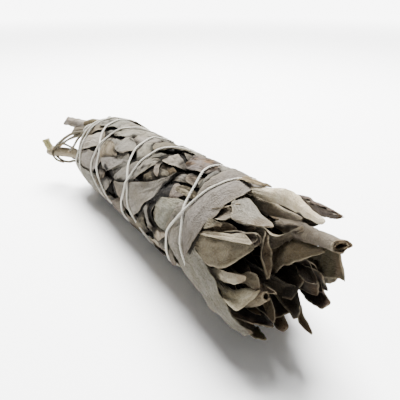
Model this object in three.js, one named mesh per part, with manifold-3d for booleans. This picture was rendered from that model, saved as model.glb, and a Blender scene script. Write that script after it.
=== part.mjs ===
// Sage smudge stick: dried white sage sprigs laid side by side, wrapped in their own leaves and
// wound with one cotton thread. Millimetres, +Z up. The bundle lies on z = 0 with its stems
// towards -X and its loose leaf tips towards +X. The origin is under the middle of its outline.

import * as THREE from 'three';
import Module from 'manifold-3d';

const wasm = await Module();
wasm.setup();

// Driving dimensions

const AXIS_HEIGHT = 21.8;          // bundle axis above the surface at the stem end
const AXIS_RISE = 2.0;             // degrees the axis climbs towards the thicker leaf end
const ORIGIN_ALONG = 80.9;         // distance from the stem end of the wrap to the origin
const ORIGIN_ACROSS = 4.2;         // sideways distance from the axis to the origin
const WRAP_RADIUS = [              // distance along the axis, outer radius of the wrapped leaves
  [0, 18.5], [10, 19.8], [60, 21.2], [110, 22.0], [130, 22.8], [150, 24.5],
];
const SPRIG_COUNT = 8;             // leafy stems, side by side round the axis
const CORE_DEPTH = 4.4;            // pressed inner leaves end this far under the wrap radius
const MOUTH_DEPTH = 2.4;           // past the cores, leaves stand this far under the wrap radius or higher
const CORE_CRUMPLE = 0.7;
const CORE_STATIONS = [1, 4, 10, 22, 36, 50, 64, 78, 92, 106, 120, 129];
const CORE_START = CORE_STATIONS[0];
const CORE_END = CORE_STATIONS[CORE_STATIONS.length - 1];
const CORE_ARCS = 5;
const NECK = { narrow: 0.62, length: 9 };     // the cores narrow towards the stem end
const MOUTH = { narrow: 0.86, length: 10 };   // and a little towards the leaf end
const LEAF_THICKNESS = 0.7;
const NODE_GAP = 0.36;             // clear space between one sprig and the next
const ROOT_DEPTH = 0.5;            // how far a leaf's root is sunk into what it grows from
const ROOT_WIDTH = 3.0;
const ROOT_RISE = 2.2;             // a leaf leaves its root within this distance
const THREAD_RADIUS = 0.48;
const THREAD_SIDES = 5;
const THREAD_STEPS_PER_TURN = 20;
const WRAP_CELL = 7.5;             // size of a wrapping leaf's facets
const DEGREE_WIDTH = 0.38;         // millimetres that a degree measures on the wrap
const ROOT_SEARCH = 8;             // a root may move this far to stand on one sprig
const ROOT_FOOT = 2.4;             // and the ground is compared this far round it
const EDGE_LIFT = 0.3;             // a leaf's edges and its tip stand off a little more than its middle
const TIP_LIFT = 0.3;
const PAD_HALF_LENGTH = 7;
const PAD_PRESS = 0.15;            // how far a pad would reach under the surface, were it not flattened
const DRAPE_SWEEPS = 90;
const STIFF_SWEEPS = 70;
const STIFFNESS = 0.3;
const LEAST_FREE = 0.2;            // a facet held mostly by its root isn't pushed up
const TIP_ROWS = 4;
const TIP_COLUMNS = 2;
const ROLLED_COLUMNS = 4;          // a leaf rolled to a tube needs more facets across
const ROLLED_CURL = 1.3;
const LOOSE_ROOT_WIDTH = 2.4;
const POINTED_TIP = 0.12;          // width of a pointed tip, as a part of the leaf's width
const SECTION_STEPS = 10;
const STEM_SIDES = 6;
const STEM_STEPS = 4;
const KNOT_SWELL = 1.14;           // a stem is this much thicker at a knot

const COLOURS = {
  leaf: 0xaaa698, thread: 0xd8d5c8,
};

// Small mathematics

const radians = THREE.MathUtils.degToRad;

function seededRandom(seed) {
  let state = seed >>> 0;
  return () => {
    state = (state + 0x6d2b79f5) >>> 0;
    let mixed = Math.imul(state ^ (state >>> 15), state | 1);
    mixed ^= mixed + Math.imul(mixed ^ (mixed >>> 7), mixed | 61);
    return ((mixed ^ (mixed >>> 14)) >>> 0) / 4294967296;
  };
}

function interpolate(table, x) {
  if (x <= table[0][0]) return table[0][1];
  for (let i = 1; i < table.length; i += 1) {
    const [x0, y0] = table[i - 1];
    const [x1, y1] = table[i];
    if (x <= x1) return y0 + (y1 - y0) * (x - x0) / (x1 - x0);
  }
  return table[table.length - 1][1];
}

function throughThree(a, b, c, u) {
  const first = 2 * (u - 0.5) * (u - 1);
  const middle = 4 * u * (1 - u);
  const last = 2 * u * (u - 0.5);
  return a.map((value, i) => first * value + middle * b[i] + last * c[i]);
}

// Bundle frame: distance along the axis, angle from the top towards -Y, radius

const AXIS_DIRECTION = new THREE.Vector3(Math.cos(radians(AXIS_RISE)), 0, Math.sin(radians(AXIS_RISE)));
const AXIS_UP = new THREE.Vector3(-Math.sin(radians(AXIS_RISE)), 0, Math.cos(radians(AXIS_RISE)));
const AXIS_SIDE = new THREE.Vector3(0, -1, 0);
const AXIS_START = new THREE.Vector3(-ORIGIN_ALONG, ORIGIN_ACROSS, AXIS_HEIGHT);

function outward(angle) {
  return AXIS_UP.clone().multiplyScalar(Math.cos(radians(angle)))
    .addScaledVector(AXIS_SIDE, Math.sin(radians(angle)));
}

function place(along, angle, radius) {
  return AXIS_START.clone().addScaledVector(AXIS_DIRECTION, along).addScaledVector(outward(angle), radius);
}

function wrapRadius(along) {
  return interpolate(WRAP_RADIUS, along);
}

// Solids

function solidFrom(points, triangles) {
  let volume = 0;
  for (const [a, b, c] of triangles) {
    volume += points[a].dot(points[b].clone().cross(points[c])) / 6;
  }
  const turned = volume < 0 ? triangles.map(([a, b, c]) => [a, c, b]) : triangles;
  return new wasm.Manifold(new wasm.Mesh({
    numProp: 3,
    vertProperties: new Float32Array(points.flatMap((p) => [p.x, p.y, p.z])),
    triVerts: new Uint32Array(turned.flat()),
  }));
}

function bladeSolid(outer, inner) {
  // Two grids of points, split into triangles alike, and joined round their edge.
  const rows = outer.length;
  const columns = outer[0].length;
  const points = [...outer.flat(), ...inner.flat()];
  const under = rows * columns;
  const at = (i, j) => i * columns + j;
  const triangles = [];
  for (let i = 0; i + 1 < rows; i += 1) {
    for (let j = 0; j + 1 < columns; j += 1) {
      const corners = [at(i, j), at(i + 1, j), at(i + 1, j + 1), at(i, j + 1)];
      for (const [a, b, c] of [[0, 1, 2], [0, 2, 3]]) {
        triangles.push([corners[a], corners[b], corners[c]]);
        triangles.push([under + corners[a], under + corners[c], under + corners[b]]);
      }
    }
  }
  const rim = [];
  for (let j = 0; j + 1 < columns; j += 1) rim.push(at(0, j));
  for (let i = 0; i + 1 < rows; i += 1) rim.push(at(i, columns - 1));
  for (let j = columns - 1; j > 0; j -= 1) rim.push(at(rows - 1, j));
  for (let i = rows - 1; i > 0; i -= 1) rim.push(at(i, 0));
  rim.forEach((a, k) => {
    const b = rim[(k + 1) % rim.length];
    triangles.push([a, b, under + b], [a, under + b, under + a]);
  });
  return solidFrom(points, triangles);
}

function ringSolid(rings) {
  // A row of closed rings with as many points each, skinned and closed by flat ends.
  const sides = rings[0].length;
  const points = rings.flat();
  const triangles = [];
  for (let i = 0; i + 1 < rings.length; i += 1) {
    for (let j = 0; j < sides; j += 1) {
      const next = (j + 1) % sides;
      const a = i * sides + j;
      const b = i * sides + next;
      triangles.push([a, a + sides, b + sides], [a, b + sides, b]);
    }
  }
  const last = (rings.length - 1) * sides;
  for (let j = 1; j + 1 < sides; j += 1) {
    triangles.push([0, j, j + 1], [last, last + j + 1, last + j]);
  }
  return solidFrom(points, triangles);
}

function ringsAlong(path, radii, sides) {
  // Rings of points square to a path, each turned no more than the path turns.
  let side = new THREE.Vector3(0, 0, 1);
  return path.map((point, i) => {
    const before = path[Math.max(i - 1, 0)];
    const after = path[Math.min(i + 1, path.length - 1)];
    const along = after.clone().sub(before).normalize();
    side = side.clone().addScaledVector(along, -side.dot(along)).normalize();
    const third = along.clone().cross(side);
    return Array.from({ length: sides }, (unused, k) => {
      const turn = 2 * Math.PI * k / sides;
      return point.clone().addScaledVector(side, radii[i] * Math.cos(turn))
        .addScaledVector(third, radii[i] * Math.sin(turn));
    });
  });
}

// Height map: the outermost surface so far, and the sprig that it belongs to

const MAP_START = -6;
const MAP_END = 162;
const MAP_STEP = 1;
const MAP_ANGLE = 2.5;
const MAP_ROWS = (MAP_END - MAP_START) / MAP_STEP + 1;
const MAP_COLUMNS = 360 / MAP_ANGLE;
const mapTop = new Float64Array(MAP_ROWS * MAP_COLUMNS);
const mapOwner = new Int32Array(MAP_ROWS * MAP_COLUMNS).fill(-1);

function mapIndex(along, angle) {
  const row = THREE.MathUtils.clamp(Math.round((along - MAP_START) / MAP_STEP), 0, MAP_ROWS - 1);
  const column = ((Math.round(angle / MAP_ANGLE) % MAP_COLUMNS) + MAP_COLUMNS) % MAP_COLUMNS;
  return row * MAP_COLUMNS + column;
}

function highestNear(along, angle) {
  // The higher of the map's cells round a point, so that a sample never misses a ridge.
  let best = mapIndex(along, angle);
  for (const [step, turn] of [[-0.5, -0.5], [-0.5, 0.5], [0.5, -0.5], [0.5, 0.5]]) {
    const index = mapIndex(along + step * MAP_STEP, angle + turn * MAP_ANGLE);
    if (mapTop[index] > mapTop[best]) best = index;
  }
  return best;
}

function mapDistance(a, b) {
  return Math.hypot(a[0] - b[0], (a[1] - b[1]) * DEGREE_WIDTH);
}

function settle(along, angle) {
  // The nearest place where a whole root stands on one sprig, on fairly even ground.
  let best = null;
  for (let reach = 0; reach <= ROOT_SEARCH; reach += 1) {
    const places = Math.max(1, 8 * reach);
    for (let k = 0; k < places; k += 1) {
      const at = stepFrom([along, angle], reach, 2 * Math.PI * k / places);
      const owner = mapOwner[mapIndex(...at)];
      const foot = footOf(at);
      const heights = foot.map((index) => mapTop[index]);
      const whole = owner >= 0 && foot.every((index) => mapOwner[index] === owner);
      const cost = Math.max(...heights) - Math.min(...heights) + 0.15 * reach;
      if (whole && (!best || cost < best.cost)) best = { at, owner, cost };
    }
  }
  return best;
}

function stepFrom([along, angle], distance, turn) {
  return [along + distance * Math.cos(turn), angle + distance / DEGREE_WIDTH * Math.sin(turn)];
}

function footOf(at) {
  const turns = Array.from({ length: 8 }, (unused, m) => Math.PI * m / 4);
  return [0, ROOT_FOOT / 2, ROOT_FOOT].flatMap((radius) => (
    turns.map((turn) => mapIndex(...stepFrom(at, radius, turn)))));
}

function raiseMap(along, angle, radius, owner) {
  const index = mapIndex(along, angle);
  if (radius > mapTop[index]) {
    mapTop[index] = radius;
    mapOwner[index] = owner;
  }
}

// Cores: the pressed inner leaves of each sprig, a wedge round its own stem

const crumpleRandom = seededRandom(11);
const crumple = Array.from({ length: 64 }, () => [crumpleRandom(), crumpleRandom()]);

function crumpleAt(along, angle) {
  let sum = 0;
  for (let k = 0; k < 6; k += 1) {
    const [phase, speed] = crumple[k];
    sum += Math.sin(along * (0.05 + 0.12 * speed) + (k + 2) * radians(angle) + 6.28 * phase);
  }
  return sum / 3;
}

function narrowing(end, distance) {
  return Math.min(1, end.narrow + (1 - end.narrow) * Math.sqrt(Math.max(distance, 0) / end.length));
}

function coreRadius(along, angle) {
  const body = wrapRadius(along) - CORE_DEPTH + CORE_CRUMPLE * crumpleAt(along, angle);
  return body * narrowing(NECK, along - CORE_START) * narrowing(MOUTH, CORE_END - along);
}

function sectorOf(angle) {
  const sector = 360 / SPRIG_COUNT;
  return Math.floor((((angle + sector / 2) % 360) + 360) % 360 / sector);
}

function coreSolid(sprig) {
  const sector = 360 / SPRIG_COUNT;
  const centre = sprig * sector;
  const rings = CORE_STATIONS.map((along) => {
    const ring = [place(along, centre, NODE_GAP / 2 / Math.sin(radians(sector / 2)))];
    for (let j = 0; j <= CORE_ARCS; j += 1) {
      const spread = sector * (j / CORE_ARCS - 0.5);
      const radius = coreRadius(along, centre + spread);
      const inset = THREE.MathUtils.radToDeg(NODE_GAP / 2 / radius) * (1 - 2 * j / CORE_ARCS);
      ring.push(place(along, centre + spread + inset, radius));
    }
    return ring;
  });
  return ringSolid(rings);
}

for (let row = 0; row < MAP_ROWS; row += 1) {
  for (let column = 0; column < MAP_COLUMNS; column += 1) {
    const along = MAP_START + row * MAP_STEP;
    const angle = column * MAP_ANGLE;
    if (along < CORE_START || along > CORE_END) continue;
    raiseMap(along, angle, coreRadius(along, angle), sectorOf(angle));
  }
}

// Wrapping leaves: each lies on what is under it, with its root sunk into its own sprig

function wrapLeaf(leaf) {
  // leaf.left and leaf.right: its two edges from root to tip, as [along, angle] at three places
  const rootMiddle = leaf.left[0].map((value, k) => (value + leaf.right[0][k]) / 2);
  const root = settle(...rootMiddle);
  if (!root) throw new Error(`leaf ${leaf.name} finds no sprig for its root`);
  const shift = root.at.map((value, k) => value - rootMiddle[k]);
  const grid = leafGrid(leaf, shift);
  for (const vertex of grid.flat()) {
    const least = vertex.along > CORE_END - 3 ? wrapRadius(vertex.along) - MOUTH_DEPTH : 0;
    const under = Math.max(mapTop[highestNear(vertex.along, vertex.angle)], least);
    const room = floorRadius(vertex.along, vertex.angle) - under - NODE_GAP - LEAF_THICKNESS;
    if (vertex.bulge > 0) vertex.lift += vertex.bulge * (room + PAD_PRESS);
    vertex.radius = under + NODE_GAP + vertex.lift;
  }
  for (const vertex of grid[0]) {
    vertex.radius = mapTop[mapIndex(vertex.along, vertex.angle)] - ROOT_DEPTH;
  }
  const samples = samplesOf(grid);
  drape(grid, samples, root.owner);
  for (const sample of samples) {
    raiseMap(sample.along, sample.angle, blend(sample, 'radius') + LEAF_THICKNESS, root.owner);
  }
  const sheet = (add, least) => grid.map((row) => row.map((p) => (
    floorAt(place(p.along, p.angle, p.radius + add), least))));
  return {
    owner: root.owner,
    solid: bladeSolid(sheet(LEAF_THICKNESS, 0), sheet(0, LEAF_THICKNESS)),
    clearance: bladeSolid(sheet(LEAF_THICKNESS + NODE_GAP, -1), sheet(-NODE_GAP, 0)),
  };
}

function leafGrid(leaf, shift) {
  // Rows of points from root to tip. The root is narrow, and moved by shift.
  const length = mapDistance(leaf.left[0], leaf.left[1]) + mapDistance(leaf.left[1], leaf.left[2]);
  const width = mapDistance(leaf.left[1], leaf.right[1]);
  const cell = leaf.pad ? WRAP_CELL / 2 : WRAP_CELL;
  const rows = THREE.MathUtils.clamp(Math.round(length / cell), 3, 9);
  const columns = THREE.MathUtils.clamp(Math.round(width / cell), 2, 4);
  const rise = ROOT_RISE / length;
  return Array.from({ length: rows + 1 }, (unusedRow, i) => {
    const u = i === 0 ? 0 : rise + (1 - rise) * (i - 1) / (rows - 1);
    const ends = [leaf.left, leaf.right].map((edge) => (
      throughThree(...edge, u).map((value, k) => value + shift[k] * (1 - u) ** 3)));
    const narrow = i < 2 ? Math.min(1, ROOT_WIDTH * (i + 1) / mapDistance(...ends)) : 1;
    const middle = ends[0].map((value, k) => (value + ends[1][k]) / 2);
    const [left, right] = ends.map((end) => (
      end.map((value, k) => middle[k] + (value - middle[k]) * narrow)));
    return Array.from({ length: columns + 1 }, (unused, j) => {
      const v = j / columns;
      const [along, angle] = left.map((value, k) => value + (right[k] - value) * v);
      const bulge = leaf.pad ? Math.min(1, 2.1 * Math.sin(Math.PI * u) * Math.sin(Math.PI * v)) : 0;
      const edge = (leaf.edge ?? EDGE_LIFT) * (2 * v - 1) ** 2 * Math.min(1, 3 * u);
      const tip = (leaf.tip ?? TIP_LIFT) * u ** 3;
      return { along, angle, bulge, lift: edge + tip };
    });
  });
}

function blend({ face, weights }, key) {
  return weights.reduce((sum, weight, k) => sum + weight * face[k][key], 0);
}

function samplesOf(grid) {
  // Points all over the grid's triangles, closer together than the map's cells.
  const samples = [];
  for (let i = 0; i + 1 < grid.length; i += 1) {
    for (let j = 0; j + 1 < grid[i].length; j += 1) {
      const corners = [grid[i][j], grid[i + 1][j], grid[i + 1][j + 1], grid[i][j + 1]];
      for (const [a, b, c] of [[0, 1, 2], [0, 2, 3]]) {
        const face = [corners[a], corners[b], corners[c]];
        const flat = face.map((vertex) => [vertex.along, vertex.angle]);
        const span = Math.max(...flat.map((point, k) => mapDistance(point, flat[(k + 1) % 3])));
        const steps = Math.max(2, Math.ceil(span / (0.8 * MAP_STEP)));
        for (let p = 0; p <= steps; p += 1) {
          for (let q = 0; q + p <= steps; q += 1) {
            const weights = [p / steps, q / steps, (steps - p - q) / steps];
            const sample = { face, weights, root: i === 0 };
            sample.along = blend(sample, 'along');
            sample.angle = blend(sample, 'angle');
            sample.index = highestNear(sample.along, sample.angle);
            samples.push(sample);
          }
        }
      }
    }
  }
  return samples;
}

function drape(grid, samples, owner) {
  // Pushes the leaf up, all but its root, until none of it is nearer than the gap to what is under it.
  const fixed = new Set(grid[0]);
  const needed = samples.filter((s) => mapTop[s.index] > 0 && !(s.root && mapOwner[s.index] === owner));
  for (let sweep = 0; sweep < DRAPE_SWEEPS; sweep += 1) {
    if (sweep < STIFF_SWEEPS) smoothRadius(grid);
    for (const sample of needed) {
      const short = mapTop[sample.index] + NODE_GAP + blend(sample, 'lift') - blend(sample, 'radius');
      const free = sample.face.map((vertex, k) => (fixed.has(vertex) ? 0 : sample.weights[k]));
      const power = free.reduce((sum, weight) => sum + weight * weight, 0);
      if (short <= 0 || power < LEAST_FREE) continue;
      sample.face.forEach((vertex, k) => { vertex.radius += short * free[k] / power; });
    }
  }
}

function smoothRadius(grid) {
  // A leaf is stiff: its inner points are drawn towards the mean of their neighbours.
  const moved = grid.map((row, i) => row.map((vertex, j) => {
    const near = [];
    if (i > 1 && i + 1 < grid.length) near.push((grid[i - 1][j].radius + grid[i + 1][j].radius) / 2);
    if (j > 0 && j + 1 < row.length) near.push((row[j - 1].radius + row[j + 1].radius) / 2);
    if (i === 0 || near.length === 0) return vertex.radius;
    const mean = near.reduce((sum, value) => sum + value, 0) / near.length;
    return vertex.radius + STIFFNESS * (mean - vertex.radius);
  }));
  grid.forEach((row, i) => row.forEach((vertex, j) => { vertex.radius = moved[i][j]; }));
}

function floorRadius(along, angle) {
  // The radius at which a point under the axis meets the surface that the bundle lies on.
  const height = AXIS_HEIGHT + along * AXIS_DIRECTION.z;
  const downward = Math.max(0.3, -outward(angle).z);
  return height / downward;
}

function floorAt(point, height) {
  // Where a leaf is pressed on the surface that the bundle lies on, it is flat.
  point.z = Math.max(point.z, height);
  return point;
}

const BASE_LEAVES = Array.from({ length: 10 }, (unused, k) => {
  const around = 36 * k + 8;
  const start = k % 2 ? 6 : 62;
  const lean = (k % 3 - 1) * 14;
  return {
    name: `base ${k}`,
    left: [[start, around - 5], [start + 26, around - 17 + lean / 2], [start + 50, around - 4 + lean]],
    right: [[start, around + 5], [start + 26, around + 17 + lean / 2], [start + 50, around + 4 + lean]],
    edge: 0.2,
  };
});

const SEEN_LEAVES = [
  { name: 'neck top', left: [[18, -30], [8, -28], [-1, -20]], right: [[18, 12], [8, 28], [0, 30]] },
  { name: 'neck side', left: [[16, 34], [6, 32], [0, 34]], right: [[14, 64], [6, 70], [0, 66]] },
  { name: 'low stem end', left: [[34, 68], [18, 68], [1, 74]], right: [[34, 86], [20, 104], [2, 106]] },
  { name: 'cross strip', left: [[20, -8], [20.5, 18], [24, 42]], right: [[31, -8], [31, 16], [31, 40]] },
  { name: 'oval', left: [[27, 38], [19, 37], [8, 51]], right: [[27, 52], [20, 60], [8, 60]] },
  { name: 'between strands', left: [[80, 12], [72, 10], [63, 6]], right: [[80, 56], [74, 50], [66, 28]] },
  { name: 'pale triangle', left: [[78, 60], [72, 51], [66, 56]], right: [[78, 68], [70, 73], [62, 74]] },
  { name: 'upper middle', left: [[68, 30], [60, 20], [46, 16]], right: [[69, 43], [58, 48], [40, 42]] },
  { name: 'broad middle', left: [[70, 43], [54, 40], [33, 32]], right: [[68, 48], [58, 65], [34, 63]] },
  { name: 'top pale', left: [[60, -26], [45, -34], [30, -28]], right: [[60, -6], [50, 14], [31, 21]] },
  { name: 'low band', left: [[80, 67], [70, 70], [60, 77]], right: [[82, 72], [74, 81], [62, 84]] },
  { name: 'small crumpled', left: [[46, 65], [40, 62], [33, 63]], right: [[46, 73], [40, 79], [35, 80]] },
  { name: 'low triangle', left: [[60, 78], [50, 80], [40, 88]], right: [[56, 98], [48, 110], [38, 108]] },
  { name: 'brown low', left: [[76, 84], [68, 90], [62, 98]], right: [[78, 102], [70, 112], [64, 112]] },
  { name: 'short top', left: [[78, -12], [82, -12], [87, -6]], right: [[78, 18], [82, 20], [86, 12]] },
  { name: 'short side', left: [[79, 24], [83, 22], [87, 32]], right: [[79, 58], [82, 57], [86, 50]] },
  { name: 'pale patch', left: [[101, 36], [94, 32], [86, 33]], right: [[100, 42], [95, 50], [86, 57]] },
  { name: 'torn strip', left: [[105, 21], [95, 22], [85, 21]], right: [[105, 32], [97, 36], [87, 27]] },
  { name: 'top strip', left: [[104, 14], [96, 8], [88, -1]], right: [[104, 19], [95, 20], [86, 20]] },
  { name: 'pink leaf', left: [[91, -36], [96, -12], [102, 13]], right: [[107, -36], [111, -8], [110, 17]] },
  {
    name: 'right middle', left: [[124, 42], [114, 50], [104, 58]],
    right: [[122, 82], [114, 82], [105, 74]],
  },
  {
    name: 'small triangle', left: [[108, 33], [107, 42], [109, 52]],
    right: [[114, 34], [113, 42], [111, 52]],
  },
  {
    name: 'square bit', left: [[105, 20], [109, 18], [113.5, 24]],
    right: [[105, 31], [109, 32], [113, 29]],
  },
  { name: 'small roll', left: [[121, 31], [117, 28], [113, 34]], right: [[121, 39], [117, 41], [113, 38]] },
  { name: 'slit leaf', left: [[109, -22], [110, 6], [115, 26]], right: [[115, -24], [119, 0], [123, 20]] },
  {
    name: 'behind collar', left: [[117, -32], [121, 0], [123, 44]],
    right: [[130, -32], [129, 5], [126, 48]],
  },
  { name: 'big diagonal', left: [[71, 98], [80, 64], [103, 37]], right: [[83, 110], [98, 74], [105, 42]] },
  { name: 'crumpled low', left: [[102, 84], [97, 81], [92, 88]], right: [[102, 95], [97, 99], [91, 98]] },
  {
    name: 'crumpled lower', left: [[115, 87], [107, 84], [100, 89]],
    right: [[115, 95], [107, 100], [100, 101]],
  },
  {
    name: 'lower collar', left: [[118, 70], [136, 76], [152, 79]],
    right: [[117, 102], [134, 104], [151, 101]], tip: 0.2,
  },
  { name: 'collar', left: [[120, -26], [127, 34], [131, 89]], right: [[127, -30], [143, 32], [135, 90]] },
  {
    name: 'brown tip', left: [[122, -40], [136, -34], [147, -14]],
    right: [[124, -26], [137, -8], [145, -4]],
  },
];

const hiddenRandom = seededRandom(41);
const HIDDEN_LEAVES = [];
for (let k = 0; k < 15; k += 1) {
  const ring = k % 3;
  const root = [44, 84, 120][ring] + 10 * (hiddenRandom() - 0.5);
  const around = 130 + 40 * Math.floor(k / 3) + 12 * (hiddenRandom() - 0.5) + 8 * ring;
  const reach = 36 + 8 * hiddenRandom();
  const lean = 24 * (hiddenRandom() - 0.5);
  const half = 17 + 5 * hiddenRandom();
  const edge = (side) => [
    [root, around + 6 * side],
    [root - reach / 2, around + half * side + lean / 2],
    [root - reach, around + 3 * side + lean],
  ];
  HIDDEN_LEAVES.push({ name: `hidden ${k}`, left: edge(-1), right: edge(1) });
}
const HIDDEN_COLLARS = [
  {
    name: 'under collar', left: [[119, 108], [126, 150], [129, 196]],
    right: [[127, 106], [143, 148], [137, 196]],
  },
  {
    name: 'back collar', left: [[120, 318], [126, 260], [129, 205]],
    right: [[127, 318], [143, 262], [137, 205]],
  },
];

// The bundle rests on three low leaves, pressed flat where they touch the surface.
const PADS = [31, 76, 121].map((middle) => ({
  name: `pad ${middle}`,
  left: [[middle + PAD_HALF_LENGTH, 174], [middle, 158], [middle - PAD_HALF_LENGTH, 172]],
  right: [[middle + PAD_HALF_LENGTH, 186], [middle, 202], [middle - PAD_HALF_LENGTH, 188]],
  pad: true,
  edge: 0,
  tip: 0,
}));

const wrapLeaves = [...BASE_LEAVES, ...HIDDEN_LEAVES, ...HIDDEN_COLLARS, ...PADS, ...SEEN_LEAVES].map(wrapLeaf);

// Loose leaves: blades in the open, curled across and turned about their own midrib

function curledBlade(blade, extra) {
  // blade.path: root, middle and tip of the midrib, as [along, angle, radius]
  // blade.roll: degrees that the blade is turned about its midrib, from facing outwards
  // blade.curl: how far its left and right edges bend inwards, in radians
  const strength = Math.max(...blade.curl.map(Math.abs));
  const columns = strength > ROLLED_CURL ? ROLLED_COLUMNS : TIP_COLUMNS;
  const spine = Array.from({ length: TIP_ROWS + 1 }, (unused, i) => {
    const u = i / TIP_ROWS;
    const [along, angle, radius] = throughThree(...blade.path, u);
    return place(along, angle, radius);
  });
  const outer = [];
  const inner = [];
  const half = LEAF_THICKNESS / 2 + extra;
  spine.forEach((point, i) => {
    const u = i / TIP_ROWS;
    const tangent = spine[Math.min(i + 1, TIP_ROWS)].clone().sub(spine[Math.max(i - 1, 0)]).normalize();
    const angle = throughThree(...blade.path, u)[1];
    const facing = outward(angle).addScaledVector(tangent, -outward(angle).dot(tangent)).normalize();
    facing.applyAxisAngle(tangent, radians(blade.roll ?? 0));
    const side = facing.clone().cross(tangent).normalize();
    const centre = point.clone();
    if (i === 0) centre.addScaledVector(tangent, -extra);
    if (i === TIP_ROWS) centre.addScaledVector(tangent, extra);
    const swell = Math.sin(Math.PI * u) ** 0.7;
    const end = u < 0.5 ? LOOSE_ROOT_WIDTH / blade.width : blade.tipWidth ?? POINTED_TIP;
    const width = blade.width / 2 * (end + (1 - end) * swell) + extra;
    const strip = sectionAcross(blade, columns);
    outer.push(strip.map((s) => centre.clone().addScaledVector(side, s.x * width + s.nx * half)
      .addScaledVector(facing, s.y * width + s.ny * half)));
    inner.push(strip.map((s) => centre.clone().addScaledVector(side, s.x * width - s.nx * half)
      .addScaledVector(facing, s.y * width - s.ny * half)));
  });
  return bladeSolid(outer, inner);
}

function sectionAcross(blade, columns) {
  // The blade's cross-section for a half width of one, with its normals.
  const [bendLeft, bendRight] = blade.curl;
  const section = [];
  for (let j = 0; j <= columns; j += 1) {
    const v = 2 * j / columns - 1;
    const bend = v < 0 ? bendLeft : bendRight;
    let x = 0;
    let y = 0;
    for (let k = 0; k < SECTION_STEPS; k += 1) {
      const slope = bend * ((k + 0.5) / SECTION_STEPS * Math.abs(v));
      x += Math.sign(v) * Math.cos(slope) * Math.abs(v) / SECTION_STEPS;
      y -= Math.sin(slope) * Math.abs(v) / SECTION_STEPS;
    }
    const slope = bend * Math.abs(v);
    section.push({ x, y, nx: Math.sign(v) * Math.sin(slope), ny: Math.cos(slope) });
  }
  return section;
}

const LOOSE_LEAVES = [
  { name: 'long cream', path: [[126, 8, 14], [146, 4, 22], [186, 19, 33]], width: 16, curl: [0.5, 1.3] },
  {
    name: 'purple point', path: [[126, -25, 14], [150, -16, 23], [188, 14, 34]],
    width: 11, curl: [0.9, 0.9],
  },
  {
    name: 'olive hollow', path: [[126, 12, 11], [148, 12, 17.5], [174, 18, 27]],
    width: 14, curl: [-0.5, -0.7],
  },
  {
    name: 'cut roll', path: [[126, -55, 9], [158, -6, 17], [183, 9, 23]],
    width: 16, curl: [2.5, 2.5], tipWidth: 0.75,
  },
  { name: 'small point', path: [[126, -30, 8], [152, -16, 14], [176, 6, 21]], width: 8, curl: [0.6, 0.8] },
  {
    name: 'lit triangle', path: [[126, 38, 14], [143, 25, 20.5], [164, 22, 22]],
    width: 18, curl: [0.8, 0.2], roll: 14,
  },
  {
    name: 'wavy rim', path: [[126, 62, 6], [144, 42, 9], [163, 24, 17.5]],
    width: 13, curl: [-0.7, -0.5], tipWidth: 0.8,
  },
  {
    name: 'broad brown', path: [[126, -90, 6], [152, -25, 6.5], [181, 12, 19]],
    width: 15, curl: [0.5, 0.9], roll: 14,
  },
  {
    name: 'upright split', path: [[126, 50, 9], [146, 48, 11], [165, 55, 14]],
    width: 17, curl: [0.5, 0.7], roll: 72,
  },
  {
    name: 'big roll', path: [[126, 76, 14], [146, 68, 23], [166, 43, 26]],
    width: 25, curl: [1.9, 0.9], tipWidth: 0.7,
  },
  { name: 'horn', path: [[126, 100, 14], [147, 97, 17], [161, 80, 17]], width: 9, curl: [0.9, 0.9] },
  {
    name: 'pink curl', path: [[126, 96, 8], [147, 95, 11], [163, 92, 11]],
    width: 11, curl: [1, 1], tipWidth: 0.3,
  },
  { name: 'tan fold', path: [[126, 124, 14], [145, 129, 19], [160, 108, 14]], width: 18, curl: [0.3, 0.5] },
  {
    name: 'small tube', path: [[126, 150, 12], [148, 143, 17.5], [163, 114, 10.5]],
    width: 13, curl: [2.4, 2.4], tipWidth: 0.8,
  },
  {
    name: 'dark arch', path: [[126, -160, 6], [148, -164, 8], [169, -188, 12.5]],
    width: 18, curl: [1.2, 1.2], roll: 180,
  },
  {
    name: 'low horn', path: [[126, -160, 13], [150, -158, 19], [167, -161, 24]],
    width: 8, curl: [0.8, 0.8], roll: 180,
  },
  {
    name: 'olive brown', path: [[126, 176, 13], [146, 175, 18], [161, 181, 22]],
    width: 12, curl: [0.4, 0.6], roll: 160,
  },
  {
    name: 'bottom tip', path: [[126, 158, 14], [144, 158, 21.5], [161, 160, 23]],
    width: 13, curl: [0.4, 0.4],
  },
  {
    name: 'inner curl', path: [[126, 148, 8], [144, 150, 13.5], [157, 150, 18]],
    width: 8, curl: [1.2, 1.2], roll: 180,
  },
  {
    name: 'light edge', path: [[126, -130, 5], [148, -120, 8], [167, -60, 6]],
    width: 13, curl: [0.6, 0.6], roll: 200,
  },
  {
    name: 'right grey', path: [[126, -100, 10], [153, -68, 11.5], [183, -2, 9.5]],
    width: 12, curl: [0.5, 0.5], roll: 40,
  },
  {
    name: 'dark purple', path: [[126, -145, 9], [150, -138, 12.5], [174, -132, 11.5]],
    width: 13, curl: [0.9, 0.9], tipWidth: 0.4,
  },
  { name: 'rim bit', path: [[126, 55, 14.5], [137, 52, 20], [147, 42, 22]], width: 8, curl: [0.7, 0.9] },
  {
    name: 'rim strip', path: [[126, 25, 14.5], [137, 28, 20], [147, 21, 20.5]],
    width: 6, curl: [0.4, 0.8],
  },
  {
    name: 'narrow olive', path: [[126, 160, 8], [146, 160, 11.5], [162, 158, 17]],
    width: 6, curl: [0.6, 0.6], roll: 180,
  },
  {
    name: 'tan star', path: [[126, 86, 3], [146, 92, 6.5], [165, 90, 9.5]],
    width: 7, curl: [0.5, 0.5], tipWidth: 0.3,
  },
];

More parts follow.
